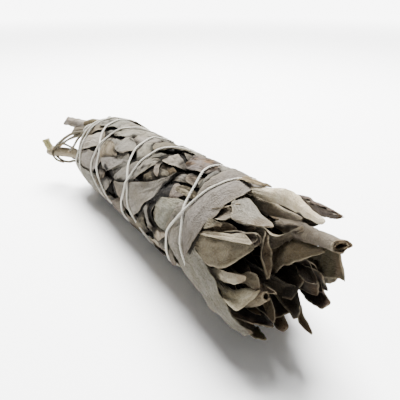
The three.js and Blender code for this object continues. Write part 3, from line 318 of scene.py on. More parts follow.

# Leaves in the open at the leaf end. Those in the dark finish, deep inside it and inside the big roll, are
# partly painted shade.

OPEN_LEAVES = {
    "purple point": edged(8, "pink", ((130, -27, 18), (148, -20, 23.2), (166, 1, 28), (173, 8, 30.3),
        (181.5, 14, 33.3), (190, 18.3, 36.6)),
        ((130, -41, 17), (148, -38, 19), (168, 0, 24.4), (177, 11, 28.8), (182.5, 14, 31.3), (189, 18, 35.4)),
        bulge=1.2, brown=1.3, tone=0.85),
    "brown tip": edged(8, "olive", ((126, -12, 20), (134, -7, 24.2), (141, -6, 25), (148, -6, 25.4)),
        ((126, -2, 20), (134, 1, 23.6), (141, -1, 24.2), (148, -5, 24.9)), bulge=0.4, tone=1.5, brown=0.5),
    "right fill": edged(6, "dark", ((140, -80, 6), (158, -118, 4.8), (166, -66, 2), (172, -30, 3.2)),
        ((140, -140, 10), (158, -148, 9.6), (165, -153, 5.1), (172, -144, 3.8))),
    "olive hollow": edged(1, "tan",
        ((126, -6, 15.5), (134, -8, 17.3), (144, -4, 20.0), (154, -2, 21), (167, 5, 23)),
        ((126, -40, 11), (130, -35, 12.9), (142, -15, 13.5), (154, -7, 16.8), (166, 3, 21)), bulge=-1.2,
        tone=1.35, crumple=0.4),
    "long cream": edged(1, "cream", ((122, -10, 19.5), (138, -4, 22.4), (149, -3, 25.6), (162, 5, 30.3),
        (171.5, 11.2, 31.6), (178.5, 16.2, 32.6), (186, 20.6, 34.6)), ((122, 4, 18), (137, 1, 19.8),
        (147, -2, 20.8), (162, 4, 23.8), (172, 14, 28), (180, 19.5, 31), (185, 22, 33.2)), bulge=1.3,
        tone=1.62, crumple=0.3),
    "wavy rim": edged(2, "shade",
        ((134, 14, 9), (150, 9, 12.6), (158, 11, 14.3), (163, 5, 17), (169, 7, 20.2)),
        ((134, -3, 3), (148, -3, 3.5), (158, 5, 9), (163, 6, 14), (168, 8, 19.6)), bulge=-1.0, lift=(1.0, 0),
        tone=1.6),
    "broad brown": edged(7, "olive", ((130, -31, 5), (150, -20, 5), (163, 2, 14), (180, 14, 20)),
        ((130, 172, 8), (150, 172, 7), (165, 32, 8.4), (180, 15, 19.2)), bulge=1.5, tone=0.85),
    "split leaf": edged(2, "brown",
        ((140, 16, 14), (150, 10, 12.8), (156, 32, 13.7), (160, 50, 14.9), (165, 69, 13.4)),
        ((140, 8, 12.4), (150, 5, 12.3), (156, 27, 11.6), (160, 44, 9.7), (165, 69, 12.6)), bulge=-0.7,
        lift=(0.9, 0.6), tone=0.55),
    "lit triangle": edged(2, "grey", ((126, 20, 18), (138, 18, 20.4), (144, 28, 21.6), (150, 39, 22)),
        ((126, 6, 17), (140, 5, 19.6), (152, 14, 19.4), (164, 21, 21)), bulge=0.9, lift=(1.6, 0.2),
        tone=0.95),
    "left scrap": edged(2, "shade", ((128, 44, 20), (136, 46, 21), (142, 44, 21.6), (147, 40, 22)),
        ((128, 30, 20), (136, 32, 20.6), (141, 30, 21.2), (146, 29, 21.6)), bulge=-0.6, lift=(0.3, 1.0)),
    "low fill": edged(2, "tan", ((132, 60, 19), (138, 56, 20.6), (142, 46, 21.3), (147, 40, 21.7)),
        ((130, 68, 17), (136, 63, 17.8), (144, 50, 18.5), (149, 39, 17.2)), bulge=0.4),
    "rim bit": edged(2, "shade", ((130, 58, 19.6), (137, 57, 21.6), (142, 54, 23), (146, 48, 23.6)),
        ((130, 46, 19.6), (137, 47, 21.4), (142, 46, 22.4), (148, 46, 23)), bulge=0.5, lift=(0.3, 0.8)),
    "rim strip": edged(2, "shade", ((130, 44, 19.6), (136, 42, 21.6), (141, 36, 22.6), (144, 22, 22.4)),
        ((130, 32, 19.6), (136, 34, 20.6), (142, 30, 21.2), (145, 20, 21.6)), bulge=0.5, lift=(0.6, 0.2)),
    "big roll flap": edged(3, "cream", ((128, 62, 20), (139.5, 58, 22.2), (152, 48, 23.5), (160, 41.5, 24.8)),
        ((128, 65, 20), (140, 61.5, 22.4), (154, 52.5, 23.8), (165, 45, 24.8)), tone=0.72),
    "big roll": edged(3, "tan", ((126, 66, 19.6), (139.5, 58.5, 21.7), (152, 48.5, 22.9), (160, 42.5, 24.2)),
        ((126, 88, 19), (144, 83, 21), (155, 73.5, 21.8), (164.5, 45, 22.6)), bulge=1.3, lift=(0.1, 0.1),
        tone=0.9),
    "roll mouth": edged(3, "dark", ((154, 44, 21.5), (157, 43, 23.2), (159.5, 40, 24.2), (162, 36.5, 24.4)),
        ((156, 49, 21.5), (160, 47, 23.2), (162.5, 45, 23.6), (164, 41, 23.4)), bulge=-0.6),
    "lower collar": edged(3, "grey", ((116, 72, 18), (130, 72, 19.4), (140, 76, 21.7), (148, 89, 20.8),
        (155, 99, 21.6), (161, 112, 22.4), (165, 124, 21)), ((116, 98, 20), (128, 102, 22.6),
        (138, 112, 23.4), (146, 117, 24.6), (154, 122, 24.6), (161, 130, 23.6), (165, 130, 21.4)), bulge=1.2,
        lift=(0.3, 0), tone=0.85),
    "roll lining": edged(3, "dark", ((146, 50, 20), (152, 43, 22.6), (158, 39.5, 24.2), (163, 36.5, 25.4)),
        ((146, 60, 17), (154, 50, 17.6), (160, 42, 18.4), (164, 38, 21.8)), bulge=-0.8, lift=(0.5, 0.4)),
    "roll dark": edged(3, "dark", ((140, 58, 17), (148, 52, 19), (154, 46, 21), (159, 42, 23)),
        ((140, 74, 15), (148, 64, 16), (154, 56, 17), (160, 46, 19)), bulge=0),
    "horn": edged(3, "cream",
        ((132, 98, 18), (141, 94, 18.2), (149, 85, 17.8), (157, 76, 19.2), (164, 68, 20)),
        ((132, 106, 18.5), (141, 103, 19.1), (149, 97, 18.4), (157, 88, 18.6), (163, 75, 19.4)), bulge=1.4,
        tone=0.85),
    "pink curl": edged(3, "tan",
        ((132, 100, 9), (150, 94, 12), (156, 77, 12.8), (161, 73, 13.3), (165, 79, 14.5)),
        ((132, 112, 10), (150, 110, 12.6), (156, 97, 13.2), (161, 91, 13.8), (164, 85, 13.9)), bulge=1.4),
    "tan fold": edged(4, "cream", ((132, 124, 13), (148, 121, 13.8), (157, 100, 14), (166, 80, 14.8)),
        ((132, 108, 17), (149, 105, 19.4), (157, 101, 22.4), (164, 99, 22.6)), bulge=1.2, tone=1.5),
    "tan star": edged(3, "tan", ((146, 112, 8), (158, 113, 9), (164, 82, 11), (170, 77, 12.6)),
        ((146, 118, 11), (158, 118, 11.4), (164, 95, 11.4), (170, 80, 13)), bulge=0.6, lift=(0.8, 0.8)),
    "narrow olive": edged(5, "olive", ((146, 140, 8), (157, 138, 8.8), (163, 133, 10.4), (168, 129, 14)),
        ((146, 134, 12), (157, 134, 12), (163, 133, 14), (168, 128, 15)), bulge=0.6),
    "bottom tip": edged(5, "olive", ((134, 162, 20), (152, 160, 21.8), (158, 157, 21.4), (164, 149, 20.9)),
        ((134, 144, 21), (152, 143, 22.8), (160, 143, 23), (165, 148, 21.3)), bulge=0.8),
    "olive brown": edged(5, "brown", ((136, -172, 15), (150, -170, 17.5), (160, 177, 15.5), (168, 157, 14)),
        ((136, 178, 18), (150, -179, 19.6), (161, 166, 19), (168, 155, 16.4)), bulge=0.8),
    "dark arch": edged(5, "dark", ((142, 90, 6), (160, 89, 4.4), (165, -170, 3), (171, 150, 6)),
        ((142, 150, 9), (157, 142, 7.4), (164, 152, 9.2), (172, 142, 10.5)), bulge=-2.2, lift=(0.5, 0.2)),
    "long thin tip": edged(5, "brown",
        ((142, -158, 12), (160, -156, 13.4), (165, -165, 15.6), (172, -174, 16.2)),
        ((142, -168, 14), (160, -167, 14.6), (165, -172, 18), (172, -177, 16.6)), bulge=0.5),
    "dark rounded": edged(6, "dark", ((142, -32, 7), (160, -32, 4.6), (165, -32, 7.2), (174, 5, 5.3)),
        ((142, 100, 3), (160, -28, 3.6), (167, 10, 2), (175, 31, 5.3)), bulge=-1.6, lift=(0.4, 0.5)),
    "right grey": edged(7, "olive", ((138, -62, 12), (160, -56, 11), (172, -7, 15), (183, 8, 19.4)),
        ((138, -80, 9), (160, -80, 8), (171, -45, 5), (183, -1, 9.6)), bulge=0.5, tone=0.42, square=1),
    "purple back": edged(6, "dark", ((140, -60, 6), (158, -50, 5), (166, -30, 5.4), (173, -14, 6.4)),
        ((140, -120, 10), (158, -120, 9), (166, -112, 7.6), (173, -110, 6)), bulge=0.4),
    "right grey fold": edged(7, "shade", ((144, -68, 8), (162, -70, 6.6), (172, -40, 9), (180, -6, 12)),
        ((144, -88, 8), (162, -92, 7), (172, -70, 4.6), (178, -20, 6)), bulge=0.6),
    "low lining": edged(4, "dark", ((124, 98, 18.5), (143, 104, 20.5), (152, 110, 21.5), (159, 118, 22)),
        ((124, 186, 18), (143, 184, 19.5), (152, 178, 20.5), (160, 170, 20.5)), bulge=1.5),
    "low back": edged(5, "dark", ((128, 140, 10), (145, 142, 13), (155, 146, 15), (163, 152, 15)),
        ((128, -160, 11), (145, -162, 12), (156, -168, 13), (163, -176, 13)), bulge=1),
    "right back": edged(6, "dark", ((128, -38, 9), (148, -38, 8), (162, -34, 7), (170, -24, 7)),
        ((128, -132, 11), (148, -132, 10), (162, -128, 8), (171, -126, 7)), bulge=1),
    "middle back": edged(7, "dark", ((128, -90, 4), (148, -90, 4), (158, -80, 4), (166, -60, 4)),
        ((128, 160, 9), (148, 160, 9), (158, 158, 8), (166, 156, 7)), bulge=0),
    "dark purple": edged(6, "plum", ((138, -130, 13), (158, -133, 12.2), (166, -114, 9), (176, -129, 5.6)),
        ((138, -146, 10), (158, -144, 9.2), (167, -160, 7.2), (176, 169, 3.5)), bulge=1.0),
}

# This leaf lies on the first open leaf. It is made last, so that the others keep their random draws.

PURPLE_FOLD = edged(8, "plum",
    ((148, -20, 23.7), (166, 1, 28.5), (173, 8, 30.9), (181.5, 14, 33.9), (190.4, 18.3, 37)),
    ((148, -32, 22), (165, -4, 26.8), (170.5, 4.5, 28.4), (178.2, 10.3, 31.4), (187, 16.8, 35.2)), bulge=0.9,
    crumple=0.1, brown=0.5, edge=0.12, tone=1.35)

# Curled leaves of the stem end

STEM_END_LEAVES = {
    "rolled leaf": curled(2, "pink", ((8, 18, 17), (-2, 27, 20), (-13, 38, 22.4), (-24, 46.5, 24.2)), 14,
        (2.5, 2.5), blunt=0.95, torn=0.8, notch=3.6, brown=1.2, tone=1.2),
    "grey stub": curled(2, "shade", ((8, 28, 17), (0, 38, 19.4), (-9, 52, 21.4)), 15, (2.1, 2.1), blunt=0.9,
        torn=0.6),
    "top arch": curled(1, "olive", ((7, 14, 20), (1, 22, 21.4), (-5, 32, 20.6)), 8, (1.2, 1.2), blunt=0.5,
        torn=0.5),
    "neck scrap": curled(3, "shade", ((6, 100, 15), (0, 96, 18), (-7, 98, 20)), 5, (1.0, 1.0), blunt=0.5,
        torn=0.5),
}

# Cut stems, each with its radius and a path of (along, angle, radius). The tied one sticks out and has
# a short forked peg.


def stem(radius, *path):
    return dict(radius=radius, path=path)


STEMS = [
    stem(1.7, (20, 8, 9), (-3, 8, 9), (-11, 8, 9.5)),
    stem(1.5, (20, 50, 9), (-3, 50, 9), (-9, 50, 9.5)),
    stem(2.7, (16, 96, 9), (-4, 91, 17.4), (-24, 93, 28)),
    stem(1.8, (20, 140, 10), (-3, 140, 10), (-10, 141, 10.5)),
    stem(1.6, (20, 182, 9), (-3, 182, 9), (-12, 182, 8.5)),
    stem(2.0, (20, 226, 10), (-3, 226, 10), (-9, 226, 11)),
    stem(1.7, (20, 270, 9), (-3, 270, 9), (-12, 269, 10)),
    stem(1.6, (20, 316, 10), (-3, 316, 10), (-13, 318, 12)),
]
TIED_STEM = 2
FORK_PEG = stem(2.1, (-21.5, 95, 26), (-22.5, 87, 28.4), (-24, 78.5, 30.2))

# Bare leaf stalks, and a length of thread, between the bundle and the stem that sticks out

LEAF_STALKS = [
    stem(0.75, (6, 34, 16), (-2, 52, 21), (-6, 60, 22.4), (-12, 72, 23.6), (-17, 85, 26)),
    stem(0.6, (5, 38, 16), (-2, 57, 20.2), (-6, 64, 21.2), (-12, 76, 22.6), (-16, 87, 25.2)),
    stem(0.65, (14, 22, 19), (8, 44, 21.2), (5, 58, 21.4), (0, 74, 20.8), (-9, 90, 21)),
    stem(0.6, (4, 90, 13), (-3, 84, 16.8), (-8, 80, 19.8), (-14, 79, 22.8), (-18, 86, 25.6)),
    stem(0.6, (-11, 104, 24.6), (-15, 101, 27), (-17, 94, 28.2), (-17.5, 87, 27), (-14, 80, 24.4)),
    stem(0.65, (4, 98, 15), (-4, 101, 20.4), (-8, 104, 22), (-13, 103, 24.4), (-18, 98, 26)),
]

THREAD_STRANDS = [
    ((4, 48, 16), (-2, 55, 18.6), (-6, 62, 19.4), (-12, 73, 21.8), (-17, 84, 25.6)),
]

# The thread's way over the bundle, as (angle turned so far, along)

THREAD_ROUTE = [
    (-720, 3), (-650, 5), (-560, 3), (-450, 3), (-370, 4), (-353, 6), (-333, 8), (-311, 10), (-291, 11),
    (-269, 8), (-258, 9), (-235, 12), (-180, 12), (-90, 10), (-30, 15), (14, 21), (26, 24), (34, 27),
    (43, 31), (49, 34), (57, 37), (75, 38), (82, 40), (90, 44), (101, 48), (180, 52), (270, 55), (360, 60),
    (388, 66), (405, 70), (425, 78), (455, 82), (540, 90), (630, 99), (702, 109), (720, 113), (745, 119),
    (765, 122), (780, 126), (800, 130), (825, 134), (900, 137), (990, 137), (1065, 133), (1080, 129.8),
    (1100, 129), (1125, 127), (1138, 125), (1160, 119), (1185, 115), (1260, 108), (1350, 94), (1425, 81),
    (1440, 78.5), (1480, 78.3), (1505, 78), (1525, 75), (1545, 70), (1620, 62), (1710, 44), (1790, 35),
    (1829, 33), (1848, 34), (1856, 34), (1866, 32), (1875, 32), (1887, 31), (1896, 33), (1905, 36),
    (1940, 37), (1980, 32), (2070, 18), (2160, 12), (2189, 13), (2208, 13.5), (2218, 14), (2226, 16),
    (2250, 15), (2340, 10), (2430, 7), (2500, 7),
]


# Settings


class SageBundleShape(bpy.types.PropertyGroup):
    leaf_thickness: bpy.props.FloatProperty(
        name="Leaf thickness", description="Thickness of a dried leaf", default=0.00045, unit="LENGTH"
    )
    leaf_gap: bpy.props.FloatProperty(
        name="Leaf gap", description="Air between a leaf and what it lies on", default=0.00012, unit="LENGTH"
    )
    cell: bpy.props.FloatProperty(
        name="Leaf cell", description="Size of the cells that a leaf is made of",
        default=0.0009, unit="LENGTH",
    )
    core_depth: bpy.props.FloatProperty(
        name="Core depth", description="Depth of the pressed inner leaves under the wrap",
        default=0.0031, unit="LENGTH",
    )
    cinch: bpy.props.FloatProperty(
        name="Cinch", description="How far the thread presses the leaves in", default=0.0010, unit="LENGTH"
    )


class SageThreadShape(bpy.types.PropertyGroup):
    radius: bpy.props.FloatProperty(
        name="Thread radius", description="Outer radius of the twisted thread", default=0.00048, unit="LENGTH"
    )
    plies: bpy.props.IntProperty(name="Plies", description="Strands twisted together", default=3)
    twist: bpy.props.FloatProperty(
        name="Twist length", description="Length of one full twist of the plies",
        default=0.0034, unit="LENGTH",
    )


class SageColours(bpy.types.PropertyGroup):
    cream: bpy.props.FloatVectorProperty(
        name="Cream", description="Palest leaves", default=(0.228, 0.199, 0.148), size=3, subtype="COLOR"
    )
    grey: bpy.props.FloatVectorProperty(
        name="Grey", description="Most of the leaves", default=(0.123, 0.1145, 0.097), size=3, subtype="COLOR"
    )
    pink: bpy.props.FloatVectorProperty(
        name="Pinkish grey", description="Warm leaves", default=(0.116, 0.101, 0.088), size=3, subtype="COLOR"
    )
    shade: bpy.props.FloatVectorProperty(
        name="Dull grey", description="Leaves with less down",
        default=(0.079, 0.0685, 0.051), size=3, subtype="COLOR",
    )
    olive: bpy.props.FloatVectorProperty(
        name="Olive", description="Inner sides of the tips",
        default=(0.0634, 0.0507, 0.0304), size=3, subtype="COLOR",
    )
    tan: bpy.props.FloatVectorProperty(
        name="Tan", description="Torn and withered leaves",
        default=(0.085, 0.07, 0.049), size=3, subtype="COLOR",
    )
    brown: bpy.props.FloatVectorProperty(
        name="Brown", description="Most withered leaves",
        default=(0.0676, 0.0482, 0.0287), size=3, subtype="COLOR",
    )
    plum: bpy.props.FloatVectorProperty(
        name="Plum", description="Purplish brown leaves",
        default=(0.040, 0.029, 0.025), size=3, subtype="COLOR",
    )
    # The darkest finish: partly the withered leaves' own colour, partly painted shade on leaves deep inside
    # the leaf end and the big roll.
    dark: bpy.props.FloatVectorProperty(
        name="Dark", description="Withered leaves inside the leaf end",
        default=(0.033, 0.0275, 0.022), size=3, subtype="COLOR",
    )
    stem: bpy.props.FloatVectorProperty(
        name="Stem", description="Dry stems", default=(0.148, 0.121, 0.0744), size=3, subtype="COLOR"
    )
    cotton: bpy.props.FloatVectorProperty(
        name="Cotton", description="Thread", default=(0.439, 0.422, 0.372), size=3, subtype="COLOR"
    )


class SageStageSettings(bpy.types.PropertyGroup):
    lens: bpy.props.FloatProperty(
        name="Lens", description="Focal length of the camera, in millimetres", default=42.3
    )
    key_power: bpy.props.FloatProperty(
        name="Key light", description="Power of the softbox over the far side", default=76.0, unit="POWER"
    )
    fill_power: bpy.props.FloatProperty(
        name="Fill light", description="Power of the softbox on the near side", default=0.36, unit="POWER"
    )
    sky: bpy.props.FloatProperty(name="Sky", description="Strength of the light from all round", default=0.31)
    backdrop: bpy.props.FloatProperty(
        name="Backdrop", description="Brightness of the white that the camera sees past the floor",
        default=7.5,
    )


# Height field

GENERAL_DEPTH = 2.5


class HeightField:
    """The outermost surface so far, over distance along the axis and angle round it, in millimetres."""

    start, end, step = -10.0, 172.0, 0.5

    def __init__(self):
        self.rows = int((self.end - self.start) / self.step) + 1
        self.top = np.zeros((self.rows, 360))
        self.stations = (self.start + self.step * np.arange(self.rows))[:, None]

    def cells(self, along, angle):
        row = np.clip(np.rint((along - self.start) / self.step).astype(int), 0, self.rows - 1)
        return row, np.rint(angle).astype(int) % 360

    def raised(self):
        """The field with every cell as high as its highest neighbour."""
        return dilated(self.top, 1, 1)

    def sample(self, values, along, angle):
        """Values of the field's own cells between their centres."""
        row = np.clip((along - self.start) / self.step, 0, self.rows - 1.001)
        low = np.floor(row).astype(int)
        left = np.floor(angle).astype(int)
        part, turn = row - low, angle - left
        left, right = left % 360, (left + 1) % 360
        lower = values[low, left] * (1 - turn) + values[low, right] * turn
        upper = values[low + 1, left] * (1 - turn) + values[low + 1, right] * turn
        return lower * (1 - part) + upper * part

    def cover(self, along, angle, radius):
        np.maximum.at(self.top, self.cells(along.ravel(), angle.ravel()), radius.ravel())


def dilated(values, rows, columns):
    """Every cell as high as the highest within so many rows and columns."""
    for _ in range(columns):
        values = np.maximum(values, np.maximum(np.roll(values, 1, 1), np.roll(values, -1, 1)))
    for _ in range(rows):
        before = values.copy()
        values[1:] = np.maximum(values[1:], before[:-1])
        values[:-1] = np.maximum(values[:-1], before[1:])
    return values


def blurred(values, times):
    values = values.copy()
    for _ in range(times):
        values[1:-1] = (values[:-2] + 2 * values[1:-1] + values[2:]) / 4
        values = (np.roll(values, 1, 1) + 2 * values + np.roll(values, -1, 1)) / 4
    return values


def finer(grid, times):
    """A grid of values, with times as many points each way."""
    rows = np.linspace(0, grid.shape[0] - 1, (grid.shape[0] - 1) * times + 1)
    columns = np.linspace(0, grid.shape[1] - 1, (grid.shape[1] - 1) * times + 1)
    i = np.minimum(rows.astype(int), grid.shape[0] - 2)
    j = np.minimum(columns.astype(int), grid.shape[1] - 2)
    p = (rows - i)[:, None]
    q = (columns - j)[None, :]
    upper = grid[i][:, j] * (1 - q) + grid[i][:, j + 1] * q
    lower = grid[i + 1][:, j] * (1 - q) + grid[i + 1][:, j + 1] * q
    return upper * (1 - p) + lower * p


def belly(along, angle):
    """How far the underside is pressed out towards the surface that it lies on, from 0 to 1."""
    width = 24.0
    off = np.asarray(angle) % 360 - 180
    return np.exp(-(off / width) ** 2) * smooth_step(8, 26, along) * (1 - smooth_step(122, 140, along))


def core_radius(along, angle, depth):
    """Radius of the pressed inner leaves: uneven, pressed flat below and narrower at both ends."""
    neck_share, neck_length = 0.28, 8
    mouth_share, mouth_length = 0.14, 10
    body = wrap_radius(along) - depth + 0.35 * ripple(along, angle * DEGREE_WIDTH, 11, 14)
    room = floor_radius(along, angle) - wrap_radius(along) + 0.6
    body = body + np.clip(room, 0, 4) * belly(along, angle)
    neck = 1 - neck_share + neck_share * np.sqrt(np.clip((along - CORE_START) / neck_length, 0, 1))
    mouth = 1 - mouth_share + mouth_share * np.sqrt(np.clip((CORE_END - along) / mouth_length, 0, 1))
    return body * neck * mouth


def thread_route(step):
    """The thread's way in even steps of angle, rounded where the table has corners."""
    rounding = 60
    turned, along = np.array(THREAD_ROUTE, float).T
    angle = np.arange(turned[0], turned[-1], step)
    path = np.interp(angle, turned, along)
    for _ in range(int(rounding / step)):
        path[1:-1] = (path[:-2] + 2 * path[1:-1] + path[2:]) / 4
    return angle, path


def cinch_field(field):
    """1 under the thread, falling to 0 beside it."""
    width, most = 1.7, 1.15
    mark = np.zeros_like(field.top)
    angle, along = thread_route(0.5)
    mark[field.cells(along, angle)] = 1
    row = np.fft.fftfreq(field.rows, field.step)[:, None]
    column = np.fft.fftfreq(360, DEGREE_WIDTH)[None, :]
    kernel = np.exp(-2 * (math.pi * width) ** 2 * (row**2 + column**2))
    spread = np.real(np.fft.ifft2(np.fft.fft2(mark) * kernel))
    return np.clip(spread / np.quantile(spread[mark > 0], 0.3), 0, most)


def painted_gap_shade(field):
    """Painted shade of the deep gaps: 1 along their lines, falling to 0 beside them."""
    inside, outside = 0.6, 1.3
    angles = np.arange(360.0)[None, :]
    gaps = np.zeros_like(field.top)
    for half, line in PAINTED_GAP_LINES:
        for along, angle in through(line, np.linspace(0, 1, 12 * len(line))):
            off = (angles - angle + 180) % 360 - 180
            apart = np.hypot(field.stations - along, off * DEGREE_WIDTH)
            gaps = np.maximum(gaps, 1 - smooth_step(inside * half, outside * half, apart))
    return gaps


def tightening(field, core):
    """How far the thread draws the stacked leaves together, as a scale for their height over the core."""
    stack, end_stack, slack_below, least = 0.7, 1.4, 9, 0.3
    wrap = wrap_radius(field.stations)
    general = blurred(dilated(np.maximum(field.top, wrap - GENERAL_DEPTH), 3, 4), 20)
    target = wrap + stack + end_stack * (1 - smooth_step(12, 40, field.stations))
    target = target + slack_below * belly(field.stations, np.arange(360.0)[None, :])
    return np.clip((target - core) / np.maximum(general - core, 1), least, 1)


# Sheets: closed leaf meshes, with what their material needs at each point


Sheet = collections.namedtuple("Sheet", "points faces uv tint rim brown hollow material")
LEAF, STEM, CORE = range(3)

EDGE_THINNING = 0.45
MIDRIB_WIDTH = 0.6
ROOT_DEPTH = 0.9
OPEN_CELL = 0.8
FLOOR_GAP = 0.05
CORE_TINT = np.array([0.02, 0.016, 0.011, 1.0])


def closed_sheet(outer, inner, uv, tint, rim, brown, hollow):
    """A leaf's two faces joined round its border, facing outwards."""
    rows, columns = outer.shape[:2]
    under = rows * columns
    at = np.arange(under).reshape(rows, columns)
    quads = np.stack([at[:-1, :-1], at[1:, :-1], at[1:, 1:], at[:-1, 1:]], -1).reshape(-1, 4)
    border = np.concatenate([at[0, :-1], at[:-1, -1], at[-1, :0:-1], at[:0:-1, 0]])
    after = np.roll(border, -1)
    wall = np.stack([border, after, under + after, under + border], -1)
    faces = np.concatenate([quads, under + quads[:, ::-1], wall])
    points = np.concatenate([outer.reshape(-1, 3), inner.reshape(-1, 3)])
    corners = points[faces]
    spans = np.cross(corners[:, 2] - corners[:, 0], corners[:, 3] - corners[:, 1])
    if np.sum((corners.mean(1) - points.mean(0)) * spans) < 0:
        faces = faces[:, ::-1]
    finish = [np.concatenate([values.reshape(under, -1)] * 2) for values in (uv, rim, brown, hollow)]
    return Sheet(points, faces, finish[0], np.tile(tint, (2 * under, 1)), *finish[1:], LEAF)


def ring_sheet(rings, tint, material):
    """A row of closed rings, skinned and closed with a point at each end."""
    count, sides = rings.shape[:2]
    points = np.concatenate([rings.reshape(-1, 3), rings[0].mean(0)[None], rings[-1].mean(0)[None]])
    first, last, end = count * sides, count * sides + 1, (count - 1) * sides
    around = [(j, (j + 1) % sides) for j in range(sides)]
    starts = range(0, end, sides)
    faces = [(i + j, i + sides + j, i + sides + k, i + k) for i in starts for j, k in around]
    faces += [(first, j, k) for j, k in around]
    faces += [(last, end + k, end + j) for j, k in around]
    middle = points.mean(0)
    total = 0.0
    for face in faces:
        a, b, c = points[face[0]], points[face[1]], points[face[2]]
        total += np.dot((a + b + c) / 3 - middle, np.cross(b - a, c - a))
    if total < 0:
        faces = [face[::-1] for face in faces]
    size = len(points)
    lengths = np.linspace(0, 1, size)
    none = np.zeros((size, 1))
    uv = np.stack([lengths, lengths], -1)
    return Sheet(points, faces, uv, np.tile(tint, (size, 1)), none, none, none, material)


def leaf_tint(colours, leaf):
    """The leaf's colour: its finish at its tone, varied a little at random."""
    random = np.random.default_rng(leaf["seed"] + 77)
    colour = np.array(colours[leaf["finish"]]) * leaf.get("tone", 1) * random.uniform(0.9, 1.1)
    return np.append(colour * random.uniform(0.97, 1.03, 3), 1.0)


def wrap_grid(leaf, cell):
    """Even rows and columns over a wrapping leaf, with its outline rounded at both ends."""
    root_share, tip_share, root_rounding = 0.3, 0.45, 3
    left, right = np.array(leaf["left"], float), np.array(leaf["right"], float)
    scale = np.array([1.0, DEGREE_WIDTH])
    length = line_length(left * scale)
    width = np.max(np.linalg.norm((left - right) * scale, axis=1))
    u = cell_steps(length, cell, 10, 90)
    side = 2 * cell_steps(width, cell, 8, 48) - 1
    edges = [through(edge, u) for edge in (left, right)]
    middle, half = (edges[0] + edges[1]) / 2, (edges[1] - edges[0]) / 2
    near_root = np.clip(u * length / root_rounding, 0, 1)
    near_tip = np.clip((1 - u) * length / leaf.get("rounding", 2.2), 0, 1)
    round_end = 1 - root_share + root_share * rounded(near_root)
    round_end = round_end * (1 - tip_share + tip_share * rounded(near_tip))
    waver = []
    for k in (1, 2):
        coarse = ripple(u * length, np.zeros_like(u), leaf["seed"] + k, 8)
        fine = ripple(u * length, np.zeros_like(u), leaf["seed"] + k + 2, 2.6)
        waver.append(1 + 0.06 * coarse + 0.022 * fine)
    stretch = np.where(side < 0, waver[0][:, None], waver[1][:, None]) * round_end[:, None]
    grid = middle[:, None, :] + half[:, None, :] * (side[None, :] * stretch)[..., None]
    uv = np.stack(np.broadcast_arrays((u * length)[:, None], (side * width / 2)[None, :]), -1)
    return grid[..., 0], grid[..., 1], u, side, length, width, uv


def wrap_relief(leaf, along, angle, u, side, length, width, pinch):
    """Creases of a wrapping leaf, more of them under the thread, and its midrib, in millimetres."""
    seed, around = leaf["seed"], angle * DEGREE_WIDTH
    across = side[None, :] * width / 2
    crumple = 0.30 * ripple(along, around, seed + 3, 11) + 0.30 * creases(along, around, seed + 4, 10)
    crumple += 0.24 * creases(along, around, seed + 5, 3.6)
    crumple += 0.32 * creases((u * length)[:, None] * 0.3, across, seed + 8, 7)
    crumple += 0.35 * pinch * creases(along, around, seed + 6, 2.8)
    rib = np.exp(-(across / MIDRIB_WIDTH) ** 2) * (1 - u[:, None] ** 2) * min(1, width / 9)
    return np.maximum(crumple, 0) * leaf.get("crumple", 1.0) + 0.30 * rib * leaf.get("rib", 1)


def lay_leaf(field, leaf, shape, cinch):
    """Lays one wrapping leaf on what is under it, and raises the field where it lies."""
    mouth_length, mouth_depth, root_length = 6, 2.2, 2.6
    rim_width, tip_rim, brown_length = 1.7, 1.6, 5
    rim_share, brown_share = 0.4, 0.25
    along, angle, u, side, length, width, uv = wrap_grid(leaf, leaf.get("cell", shape["cell"]))
    thickness = shape["leaf_thickness"]
    under = field.sample(field.raised(), along, angle)
    mouth = smooth_step(CORE_END - mouth_length, CORE_END - 1, along)
    under = np.maximum(under, (wrap_radius(along) - mouth_depth) * mouth)
    edge = np.abs(side)[None, :] * np.ones_like(along)
    rise = smooth_step(0, 0.4, u)[:, None]
    wave = ripple(u[:, None] * length, np.sign(side)[None, :] * 40, leaf["seed"] + 5, 10)
    lift = leaf.get("edge", 0.35) * np.clip(0.55 + 0.75 * wave, 0, 2) * edge**4 * rise
    lift += leaf.get("tip", 0.35) * (u[:, None] ** 5)
    least = under + shape["leaf_gap"]
    lowest = least + lift
    radius = lowest
    for _ in range(leaf.get("stiffness", 150)):
        soft = radius.copy()
        soft[1:-1] = (radius[:-2] + 2 * radius[1:-1] + radius[2:]) / 4
        soft[:, 1:-1] = (soft[:, :-2] + 2 * soft[:, 1:-1] + soft[:, 2:]) / 4
        radius = np.maximum(soft, lowest)
    pinch = field.sample(cinch, along, angle)
    radius = radius + wrap_relief(leaf, along, angle, u, side, length, width, pinch)
    sink = ROOT_DEPTH * (1 - smooth_step(0, root_length, u * length))[:, None]
    radius = np.maximum(radius - sink, least - sink)
    if "ceiling" in leaf:
        radius = np.minimum(radius, wrap_radius(along) + leaf["ceiling"] + 0.5 * (radius - least))
    top = radius + thickness
    field.cover(finer(along, 3), finer(angle, 3), finer(top, 3))
    middle = radius + thickness / 2
    half = thickness / 2 * (1 - EDGE_THINNING * edge**6)
    # Pale rim along the edges and tip: partly wear, partly painted highlight.
    border = np.maximum(edge, smooth_step(1 - tip_rim / length, 1, u)[:, None])
    rim = rim_share * smooth_step(1 - rim_width / width, 1, border)
    brown = brown_share * smooth_step(1 - brown_length / length, 1, u)[:, None] * np.ones_like(along)
    # Brown in the leaf's middle: partly its own colour, partly painted shade.
    brown = np.maximum(brown, leaf.get("stain", 0) * (1 - edge**2))
    return dict(
        leaf, along=along, angle=angle, top=top, radii=(middle + half, middle - half),
        press=pinch * shape["cinch"], uv=uv, rim=rim, brown=brown,
    )


